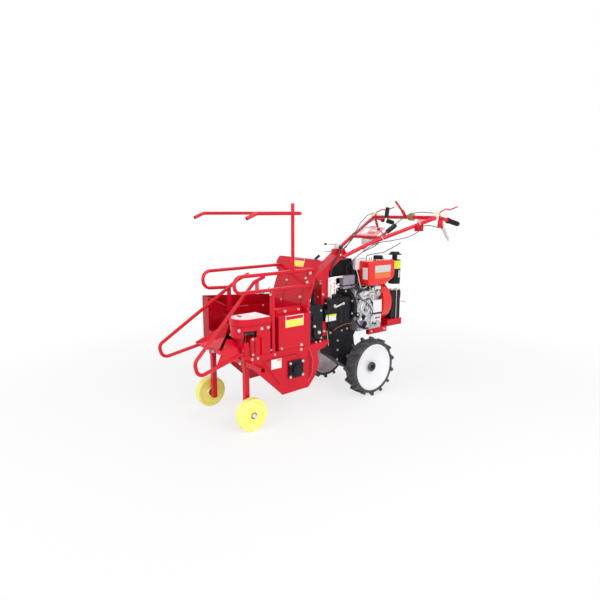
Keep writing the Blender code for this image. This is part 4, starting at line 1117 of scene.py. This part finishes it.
    def _engine_top(self) -> None:
        """Builds the rocker cover, the injector, the exhaust and the tank's fittings."""
        top = Shape("engine_top", ALLOY, STEEL, SOOT, ZINC, PLASTIC)
        top.block((-0.096, 1.060, 0.900), (0.000, 1.210, 0.926), 0, 0.006)
        for x in (-0.085, -0.011):
            for y in (1.072, 1.198):
                top.bolt((x, y, 0.9262), Way.UP.value, 0.0060, 3)
        top.round_bar((-0.048, 1.135, 0.926), Way.UP.value, 0.012, 0.016, 1, 6, rim=0.001)
        top.line([(-0.060, 1.150, 0.932), (-0.020, 1.168, 0.944), (0.010, 1.178, 0.948)], 0.0030, 1)
        top.round_bar((-0.080, 1.046, 0.846), Way.FRONT.value, 0.018, 0.008, 1, 20)
        top.line([(-0.148, 0.960, 0.900), (-0.168, 0.950, 0.900), (-0.178, 0.930, 0.898)], 0.0140, 2, 8, 3)
        top.stand("frame", "cast_alloy")
        tank = Shape("tank_fittings", ZINC, PLASTIC, TANK)
        tank.round_bar((0.095, 1.230, 0.9402), Way.UP.value, 0.037, 0.003, 0, 36, rim=0.001)
        tank.round_bar((0.040, 1.205, 0.9402), Way.UP.value, 0.011, 0.018, 0, 20, 0.009, 0.002)
        tank.round_bar((0.075, 1.310, 0.9402), Way.UP.value, 0.006, 0.010, 0, 6, rim=0.001)
        for k in range(16):
            angle = math.tau * k / 16
            place = (0.095 + 0.0318 * math.cos(angle), 1.230 + 0.0318 * math.sin(angle), 0.944)
            tank.round_bar(place, Way.UP.value, 0.0030, 0.024, 1, 8)
        for y in (1.100, 1.300):
            tank.block((0.060, y - 0.012, 0.7520), (0.120, y + 0.012, 0.7606), 0, 0.001)
        tank.stand("frame", "tank_paint")
        starter = Shape("recoil_starter", TANK, PLASTIC, ZINC, DARK)
        for angle in angles(18):
            place = (0.118 * math.cos(angle), 1.3352, 0.615 + 0.118 * math.sin(angle))
            across = (-math.sin(angle), 0.0, math.cos(angle))
            starter.tile(place, Way.REAR.value, across, (0.010, 0.034, 0.0008), 3, 0.0)
        for angle in angles(4, math.pi / 4, math.pi / 4 + math.tau):
            place = (0.094 * math.cos(angle), 1.3352, 0.615 + 0.094 * math.sin(angle))
            starter.bolt(place, Way.REAR.value, 0.0055, 2)
        starter.round_bar((0.0, 1.3622, 0.615), Way.REAR.value, 0.030, 0.010, 0, 28, 0.026, 0.002)
        starter.block((-0.112, 1.336, 0.690), (-0.092, 1.362, 0.704), 1, 0.004)
        starter.stand("frame", "tank_paint")
        cleaner = Shape("cleaner_trim", PLASTIC, ZINC)
        for z in (0.772, 0.835, 0.852):
            ring = [(0.0462, 0.0), (0.0482, 0.001), (0.0482, 0.005), (0.0462, 0.006)]
            cleaner.turned(ring, (0.060, 1.455, z), Way.UP.value, 0, 40)
        cleaner.turned([(0.040, 0.0), (0.052, -0.002), (0.052, 0.002), (0.044, 0.006)], (0.060, 1.455, 0.966), Way.UP.value, 0, 40)
        for _, sign in SIDES:
            cleaner.block((0.060 + sign * 0.0470 - 0.002, 1.448, 0.790), (0.060 + sign * 0.0470 + 0.002, 1.462, 0.846), 1, 0.0008)
        cleaner.stand("frame", "black_plastic")

    def _battery(self) -> None:
        """Builds the battery's lid, terminals, hold-down bar and leads."""
        case = Shape("battery_trim", PLASTIC, ZINC, RED, WIRE)
        for y in (1.4085, 1.4775):
            case.block((-0.088, y - 0.010, 0.6852), (0.088, y + 0.010, 0.6890), 0, 0.001)
        for x in (-0.070, 0.070):
            case.round_bar((x, 1.474, 0.6890), Way.UP.value, 0.0085, 0.015, 1, 20, 0.0075, 0.001)
            case.block((x - 0.014, 1.464, 0.690), (x + 0.014, 1.486, 0.699), 1, 0.001)
        case.block((-0.101, 1.436, 0.6892), (0.101, 1.452, 0.6932), 1, 0.0006)
        for x in (-0.099, 0.099):
            case.round_bar((x, 1.444, 0.4704), Way.UP.value, 0.0030, 0.236, 1, 12)
            case.round_bar((x, 1.444, 0.6934), Way.UP.value, 0.0060, 0.006, 1, 6, rim=0.0006)
        case.line([(0.070, 1.482, 0.696), (0.078, 1.500, 0.690), (0.084, 1.5050, 0.640), (0.060, 1.5040, 0.560), (0.030, 1.5035, 0.4716)], 0.0035, 2)
        case.line([(-0.070, 1.482, 0.696), (-0.078, 1.500, 0.690), (-0.084, 1.5050, 0.640), (-0.060, 1.5040, 0.560), (-0.030, 1.5035, 0.4716)], 0.0035, 3)
        case.line([(0.094, 1.500, 0.600), (0.110, 1.512, 0.596), (0.130, 1.520, 0.592)], 0.0020, 3)
        case.stand("frame", "black_plastic")

    def _gearbox(self) -> None:
        """Builds the ribs, the shift lever, the plugs and the wires of the gearbox."""
        left = Way.LEFT.value
        shield = Shape("muffler_shield", SOOT)
        outline = [(0.838, 0.846), (0.838, 0.898), (0.905, 0.946), (1.034, 0.955), (1.034, 0.832), (0.968, 0.832)]
        shield.slab(outline, -0.045, 0.018, 0, Way.LEFT)
        shield.stand("frame", "black_paint")
        duct = Shape("intake_duct", PEARL, PLASTIC)
        duct.block((0.028, 1.032, 0.872), (0.062, 1.088, 0.948), 0, 0.008)
        duct.block((0.0194, 0.9124, 0.7640), (0.0626, 1.0306, 0.7720), 1)
        duct.block((0.0618, 0.9700, 0.7880), (0.0628, 0.9780, 0.7960), 1)
        duct.block((0.0194, 0.9600, 0.8376), (0.0626, 0.9660, 0.8390), 1)
        duct.stand("frame", "bare_steel")
        box = Shape("gearbox_trim", BLACK, ZINC, PLASTIC, BROWN, WIRE)
        for _, sign in SIDES:
            x = sign * 0.0970
            box.block((x - 0.003, 0.842, 0.492), (x + 0.003, 0.848, 0.672), 0, 0.001)
            box.block((x - 0.003, 0.892, 0.492), (x + 0.003, 0.898, 0.672), 0, 0.001)
            box.block((x - 0.0025, 0.772, 0.606), (x + 0.0025, 0.942, 0.612), 0, 0.001)
        box.turned([(0.010, 0.0), (0.052, 0.0), (0.052, 0.010), (0.044, 0.016), (0.010, 0.016)], (0.055, 1.001, 0.205), left, 0, 32)
        box.turned([(0.010, 0.0), (0.052, 0.0), (0.052, 0.010), (0.044, 0.016), (0.010, 0.016)], (-0.055, 1.001, 0.205), Way.RIGHT.value, 0, 32)
        box.round_bar((0.0953, 0.800, 0.640), left, 0.012, 0.008, 1, 20, rim=0.001)
        box.tile((0.1040, 0.835, 0.642), left, (0.0, 0.97, 0.24), (0.078, 0.013, 0.004), 1, 0.0015)
        box.round_bar((0.1040, 0.874, 0.652), left, 0.010, 0.008, 1, 20, rim=0.001)
        box.round_bar((0.040, 0.900, 0.6902), Way.UP.value, 0.017, 0.016, 2, 24, 0.015, 0.003)
        box.round_bar((-0.050, 0.920, 0.6902), Way.UP.value, 0.010, 0.012, 1, 6, rim=0.001)
        box.line([(0.098, 0.790, 0.4650), (0.103, 0.812, 0.478), (0.104, 0.852, 0.490), (0.106, 0.900, 0.500), (0.112, 0.952, 0.498)], 0.0030, 3)
        box.line([(0.0740, 0.748, 0.700), (0.092, 0.744, 0.640), (0.096, 0.744, 0.560), (0.088, 0.752, 0.480), (0.070, 0.768, 0.420), (0.0585, 0.790, 0.372)], 0.0026, 4)
        box.line([(0.0850, 0.742, 0.470), (0.078, 0.752, 0.430), (0.072, 0.764, 0.390), (0.0585, 0.782, 0.350)], 0.0022, 1)
        box.stand("frame", "black_paint")


@dataclass
class Controls:
    """The sloping column, the handlebar and everything that is held on it."""

    bar_y: float = 1.607
    bar_z: float = 1.247
    end_x: float = 0.330

    def build(self) -> None:
        """Builds the controls."""
        zones = (
            Zone(1, (-0.019, 0.886, 1.0300), (0.019, 0.932, 1.080)),
            Zone(2, (-0.010, 0.797, 1.052), (0.010, 0.8885, 1.080)),
            Zone(3, (-0.012, 0.780, 1.050), (0.012, 0.8025, 1.085)),
            Zone(2, (-0.006, 0.735, 0.980), (0.006, 0.869, 1.028)),
            Zone(3, (-0.014, 0.690, 0.950), (0.014, 0.746, 1.002)),
        )
        Dressed("handlebar_column", (RED, WHITE, ZINC, RUBBER), 0.0005, zones).build()
        zones = (
            # Zone 1 paints the dash panel in the paler red: a painted sheen.
            Zone(1, (-0.101, 1.194, 1.1160), (0.101, 1.2935, 1.180)),
            Zone(2, (0.250, 1.430, 1.140), (0.290, 1.510, 1.150)),
            Zone(4, (0.250, 1.430, 1.150), (0.290, 1.510, 1.172)),
            Zone(3, (0.300, 1.668, 1.050), (0.360, 1.790, 1.150)),
            Zone(3, (0.078, 1.284, 1.166), (0.092, 1.322, 1.250)),
        )
        Dressed("handlebar", (RED, ROSE, PLASTIC, ZINC, DEEP), 0.0, zones).build()
        for side, _ in SIDES:
            Dressed(f"grip_{side}", (RUBBER,), 0.0020).build()
            Dressed(f"clutch_cable_{side}", (WIRE,), 0.0).build()
        Dressed("throttle_cable", (WIRE,), 0.0).build()
        Dressed("steer_grip", (RUBBER,), 0.0030).build()
        Dressed("gear_grip", (RUBBER,), 0.0030).build()
        Dressed("headlamp", (PEARL,), 0.0).build()
        self._grips()
        self._levers()
        self._twine()
        self._column()
        self._lamp()

    def _grips(self) -> None:
        """Builds the raised rings of the grips."""
        ribs = Shape("grip_rings", RUBBER)
        way = Vector((0.0, 0.135, -0.029)).normalized()
        for _, sign in SIDES:
            start = Vector((sign * self.end_x, self.bar_y + 0.120, self.bar_z - 0.022))
            for k in range(11):
                place = start + way * (0.016 + 0.0105 * k)
                profile = [(0.0175 + 0.0016 * math.cos(a), 0.0022 * math.sin(a)) for a in angles(8)]
                ribs.turned(profile, place, way, 0, 24)
        for start, way, length, radius in (
            ((0.110, 1.303, 1.143), (-0.009, 0.098, 0.045), 0.108, 0.0165),
            ((0.085, 1.318, 1.243), (0.0, 0.012, 0.076), 0.077, 0.0145),
        ):
            out = Vector(way).normalized()
            for k in range(6):
                place = Vector(start) + out * (0.016 + (length - 0.032) * k / 5)
                profile = [(radius + 0.0014 * math.cos(a), 0.0024 * math.sin(a)) for a in angles(8)]
                ribs.turned(profile, place, out, 0, 24)
        ribs.stand("frame", "black_rubber")

    def _levers(self) -> None:
        """Builds the clips, springs, ties and bolts round the levers."""
        trim = Shape("lever_trim", ZINC, LEMON, PAPER, WIRE, OILED, SILVER, RED)
        for _, sign in SIDES:
            x = sign * 0.320
            trim.block((x - 0.0145, self.bar_y - 0.012, 1.2230), (x + 0.0145, self.bar_y + 0.006, 1.2714), 2, 0.003)
            trim.block((x - 0.012, self.bar_y - 0.004, 1.2712), (x + 0.012, self.bar_y + 0.018, 1.2830), 1, 0.002)
            trim.bolt((x + sign * 0.0102, self.bar_y + 0.014, 1.263), (sign, 0.0, 0.0), 0.0050)
            trim.round_bar((x - 0.0135, self.bar_y + 0.026, 1.268), Way.LEFT.value, 0.0036, 0.027, 0, 12)
            trim.bolt((sign * (self.end_x + 0.0112), 1.660, 1.195), (sign, 0.0, 0.0), 0.0060)
        for place, way, radius in (
            ((0.164, 1.192, 1.0985), (0.345, 0.866, 0.361), 0.0148),
            ((0.270, 1.470, 1.1985), (0.345, 0.866, 0.317), 0.0148),
            ((-0.164, 1.192, 1.0985), (-0.345, 0.866, 0.361), 0.0148),
        ):
            profile = [(radius - 0.0008, -0.002), (radius + 0.0008, -0.002), (radius + 0.0008, 0.002), (radius - 0.0008, 0.002)]
            trim.turned(profile, place, way, 2, 24)
        trim.line([(0.330, 1.664, 1.170), (0.326, 1.610, 1.176), (0.300, 1.560, 1.188), (0.272, 1.500, 1.184)], 0.0030, 3)
        trim.line([(-0.330, 1.664, 1.170), (-0.320, 1.600, 1.168), (-0.280, 1.500, 1.160), (-0.210, 1.340, 1.120)], 0.0030, 3)
        trim.line([(0.270, 1.470, 1.147), (0.240, 1.400, 1.110), (0.190, 1.300, 1.086), (0.145, 1.150, 1.062), (0.112, 1.050, 1.010)], 0.0026, 3)
        bracket = [(1.618, 1.234), (1.662, 1.228), (1.668, 1.196), (1.642, 1.168), (1.616, 1.172)]
        trim.slab(bracket, 0.3230, 0.3370, 6, Way.LEFT, 0.0015)
        blade = [(1.668, 1.172), (1.700, 1.166), (1.724, 1.128), (1.754, 1.076), (1.747, 1.072), (1.700, 1.122)]
        trim.slab(blade, 0.3235, 0.3365, 5, Way.LEFT, 0.001)
        trim.stand("frame", "bare_steel")

    def _twine(self) -> None:
        """Builds the bundle of straw twine wound on the crossbar."""
        twine = Shape("straw_twine", STRAW)
        for k in range(9):
            x = 0.062 + 0.0055 * k
            lean = 0.006 * math.sin(k * 2.1)
            radius = 0.0175 + 0.0035 * (k % 3)
            loop = []
            for angle in angles(9):
                loop.append((x + lean * math.cos(angle), self.bar_y + radius * math.cos(angle), self.bar_z + radius * math.sin(angle)))
            loop.append(loop[0])
            twine.line(loop, 0.0022, 0, 4, 1)
        for k in range(7):
            angle = 0.5 + 0.42 * k
            tip = 0.034 + 0.008 * (k % 3)
            foot = (0.070 + 0.005 * k, self.bar_y + 0.018 * math.cos(angle), self.bar_z + 0.018 * math.sin(angle))
            end = (0.064 + 0.008 * k, self.bar_y + tip * math.cos(angle), self.bar_z + tip * math.sin(angle))
            twine.line([foot, end], 0.0010, 0, 2, 1)
        twine.stand("frame", "bare_steel")

    def _column(self) -> None:
        """Builds the labels, the bolts and the bracket of the column."""
        trim = Shape("column_trim", ZINC, PAPER, ORANGE, SILVER, PLASTIC, DEEP, WORN, LEMON)
        for x, z in ((0.034, 0.818), (0.034, 0.800), (0.006, 0.700)):
            trim.bolt((x, 0.7238, z), Way.FRONT.value, 0.0060)
        slope = Vector((0.0, 0.816, 0.578))
        foot = Vector((0.0, 0.7300, 0.8880))
        lift = Vector(Way.COLUMN.value) * 0.0004
        for shift, length, finish in ((-0.052, 0.048, 6), (0.0, 0.052, 3), (0.040, 0.026, 7), (0.110, 0.110, 6)):
            centre = foot + slope * shift + lift
            trim.tile(centre, Way.COLUMN.value, slope, (length, 0.060, 0.0004), finish)
        for sign in (1.0, -1.0):
            trim.bolt((sign * 0.0452, 0.905, 0.986), (sign, 0.0, 0.0), 0.0075)
        trim.block((0.0504, 0.787, 0.700), (0.0516, 0.852, 0.826), 1)
        trim.block((0.0504, 0.853, 0.828), (0.0550, 0.914, 0.840), 1, 0.001)
        for k in range(4):
            trim.tile((0.0516, 0.838, 0.790 - 0.022 * k), Way.LEFT.value, Way.REAR.value, (0.009, 0.013, 0.0003), 2)
        trim.tile((0.0516, 0.806, 0.770), Way.LEFT.value, Way.REAR.value, (0.018, 0.040, 0.0003), 3)
        trim.block((0.0500, 0.812, 0.6905), (0.0620, 0.856, 0.716), 4, 0.002)
        trim.bolt((0.0516, 0.795, 0.815), Way.LEFT.value, 0.0060)
        trim.bolt((0.0516, 0.842, 0.815), Way.LEFT.value, 0.0050)
        trim.tile((0.0446, 0.765, 0.752), Way.LEFT.value, Way.REAR.value, (0.005, 0.150, 0.0006), 4)
        trim.bolt((0.0446, 0.736, 0.722), Way.LEFT.value, 0.0065)
        trim.round_bar((-0.034, 0.7238, 0.742), Way.FRONT.value, 0.0110, 0.008, 5, 24, rim=0.002)
        trim.block((-0.043, 0.7190, 0.826), (0.043, 0.7238, 0.838), 4, 0.001)
        trim.stand("frame", "bare_steel")

    def _lamp(self) -> None:
        """Builds the lamp's lens and the dash panel's details."""
        lamp = Shape("lamp_lens", LENS, ZINC)
        lamp.block((-0.042, 1.1895, 1.054), (0.042, 1.1925, 1.082), 0, 0.001)
        lamp.round_bar((-0.030, 1.240, 1.0452), Way.DOWN.value, 0.0050, 0.005, 1, 6)
        lamp.round_bar((0.030, 1.240, 1.0452), Way.DOWN.value, 0.0050, 0.005, 1, 6)
        lamp.stand("frame", "grey_plastic")
        dash = Shape("dash_trim", PLASTIC, ZINC, PAPER, RED)
        out = Vector((0.0, -0.527, 0.850))
        along = Vector((0.0, 0.850, 0.527))
        middle = Vector((0.0, 1.242, 1.1435)) + out * 0.0022
        # x, distance up the panel, width, height, finish
        for x, rise, width, height, finish in (
            (-0.050, 0.0, 0.060, 0.070, 2),
            (0.030, -0.020, 0.070, 0.020, 3),
            (0.030, 0.012, 0.050, 0.016, 2),
        ):
            dash.tile(middle + Vector((x, 0.0, 0.0)) + along * rise, out, Way.LEFT.value, (width, height, 0.0004), finish)
        for x in (-0.085, 0.085):
            dash.bolt(middle + Vector((x, 0.0, 0.0)) - along * 0.040, out, 0.0050, 1)
        dash.round_bar(middle + Vector((0.060, 0.0, 0.0)) + along * 0.030, out, 0.010, 0.008, 0, 20, rim=0.001)
        dash.stand("frame", "red_paint")


@dataclass
class Studio:
    """The pale floor, the soft lamps and the camera.

    Attributes:
        azimuth: the camera's turn about the machine, in degrees.
        pitch: the camera's downward pitch, in degrees.
        focal: focal length in pixels of a 600-pixel picture.
        eye: the camera's place from the front axle.
    """

    azimuth: float = 51.763
    pitch: float = 9.999
    focal: float = 499.42
    eye: Triple = (2.643, -1.514, 1.288)
    picture: float = 600.0
    sensor: float = 36.0

    def build(self) -> None:
        """Builds the studio."""
        self._camera()
        self._floor()
        self._world()
        self._lamps()
        bpy.context.scene.view_settings.view_transform = "Standard"

    def _camera(self) -> None:
        """Places the camera at the photograph's viewing angle."""
        turn, pitch = math.radians(self.azimuth), math.radians(self.pitch)
        back = Vector((math.sin(turn) * math.cos(pitch), -math.cos(turn) * math.cos(pitch), math.sin(pitch)))
        right = Vector((math.cos(turn), math.sin(turn), 0.0))
        up = back.cross(right)
        data = bpy.data.cameras.new("camera")
        data.sensor_width = self.sensor
        data.sensor_fit = "HORIZONTAL"
        data.lens = self.focal * self.sensor / self.picture
        data.clip_start = 0.05
        data.clip_end = 200.0
        camera = bpy.data.objects.new("camera", data)
        bpy.context.scene.collection.objects.link(camera)
        axes = Matrix((right, up, back)).transposed().to_4x4()
        camera.matrix_world = Matrix.Translation(at(*self.eye)) @ axes
        bpy.context.scene.camera = camera

    def _floor(self) -> None:
        """Lays the pale floor, which keeps the machine's shadow."""
        form = bmesh.new()
        bmesh.ops.create_grid(form, x_segments=1, y_segments=1, size=60.0)
        mesh = bpy.data.meshes.new("floor")
        form.to_mesh(mesh)
        form.free()
        floor = bpy.data.objects.new("floor", mesh)
        bpy.context.scene.collection.objects.link(floor)
        material = bpy.data.materials.new("pale_floor")
        material.use_nodes = True
        tree = material.node_tree
        tree.nodes.clear()
        rays = tree.nodes.new("ShaderNodeLightPath")
        seen = self._background_rays(tree, rays)
        diffuse = tree.nodes.new("ShaderNodeBsdfDiffuse")
        diffuse.inputs["Color"].default_value = (0.86, 0.86, 0.86, 1.0)
        glow = tree.nodes.new("ShaderNodeEmission")
        glow.inputs["Color"].default_value = (1.0, 1.0, 1.0, 1.0)
        glow.inputs["Strength"].default_value = 1.0
        place = tree.nodes.new("ShaderNodeTexCoord")
        length = tree.nodes.new("ShaderNodeVectorMath")
        length.operation = "LENGTH"
        fade = tree.nodes.new("ShaderNodeMapRange")
        fade.interpolation_type = "SMOOTHSTEP"
        fade.inputs["From Min"].default_value = 0.8
        fade.inputs["From Max"].default_value = 3.2
        fade.inputs["To Min"].default_value = 0.72
        fade.inputs["To Max"].default_value = 1.0
        share = tree.nodes.new("ShaderNodeMath")
        share.operation = "MULTIPLY"
        tree.links.new(place.outputs["Object"], length.inputs[0])
        tree.links.new(length.outputs["Value"], fade.inputs["Value"])
        tree.links.new(fade.outputs["Result"], share.inputs[1])
        mix = tree.nodes.new("ShaderNodeMixShader")
        out = tree.nodes.new("ShaderNodeOutputMaterial")
        tree.links.new(seen, share.inputs[0])
        tree.links.new(share.outputs[0], mix.inputs[0])
        tree.links.new(diffuse.outputs[0], mix.inputs[1])
        tree.links.new(glow.outputs[0], mix.inputs[2])
        tree.links.new(mix.outputs[0], out.inputs["Surface"])
        mesh.materials.append(material)

    @staticmethod
    def _background_rays(tree: bpy.types.NodeTree, rays: bpy.types.Node) -> bpy.types.NodeSocket:
        """A socket that is 1 for camera, glossy and transmission rays."""
        first = tree.nodes.new("ShaderNodeMath")
        first.operation = "MAXIMUM"
        second = tree.nodes.new("ShaderNodeMath")
        second.operation = "MAXIMUM"
        tree.links.new(rays.outputs["Is Camera Ray"], first.inputs[0])
        tree.links.new(rays.outputs["Is Glossy Ray"], first.inputs[1])
        tree.links.new(first.outputs[0], second.inputs[0])
        tree.links.new(rays.outputs["Is Transmission Ray"], second.inputs[1])
        return second.outputs[0]

    def _world(self) -> None:
        """Sets the white surroundings, dimmer where they only light the machine."""
        world = bpy.data.worlds.new("studio")
        bpy.context.scene.world = world
        world.use_nodes = True
        tree = world.node_tree
        tree.nodes.clear()
        rays = tree.nodes.new("ShaderNodeLightPath")
        seen = self._background_rays(tree, rays)
        strength = tree.nodes.new("ShaderNodeMapRange")
        strength.inputs["To Min"].default_value = 0.42
        strength.inputs["To Max"].default_value = 1.0
        sky = tree.nodes.new("ShaderNodeBackground")
        sky.inputs["Color"].default_value = (1.0, 1.0, 1.0, 1.0)
        out = tree.nodes.new("ShaderNodeOutputWorld")
        tree.links.new(seen, strength.inputs["Value"])
        tree.links.new(strength.outputs["Result"], sky.inputs["Strength"])
        tree.links.new(sky.outputs[0], out.inputs["Surface"])

    def _lamps(self) -> None:
        """Hangs the soft lamps."""
        # name, place, size, power
        for name, place, size, power in (
            ("key", (3.4, 0.4, 2.4), 2.6, 82.0),
            ("front", (0.4, -3.6, 2.0), 2.4, 66.0),
            ("top", (0.0, 0.6, 4.2), 3.2, 30.0),
            ("rear", (-2.6, 3.0, 2.6), 2.4, 30.0),
        ):
            data = bpy.data.lights.new(name, "AREA")
            data.size = size
            data.energy = power
            lamp = bpy.data.objects.new(name, data)
            lamp.location = at(*place)
            aim = at(0.0, 0.6, 0.6) - lamp.location
            lamp.rotation_euler = aim.to_track_quat("-Z", "Y").to_euler()
            bpy.context.scene.collection.objects.link(lamp)


def main() -> None:
    """Builds the machine and the studio."""
    logging.basicConfig(level=logging.INFO, format="%(message)s")
    for assembly in (RunningGear(), Header(), Tractor(), Controls(), Studio()):
        LOG.info("building %s", type(assembly).__name__)
        assembly.build()


if __name__ == "__main__":
    main()
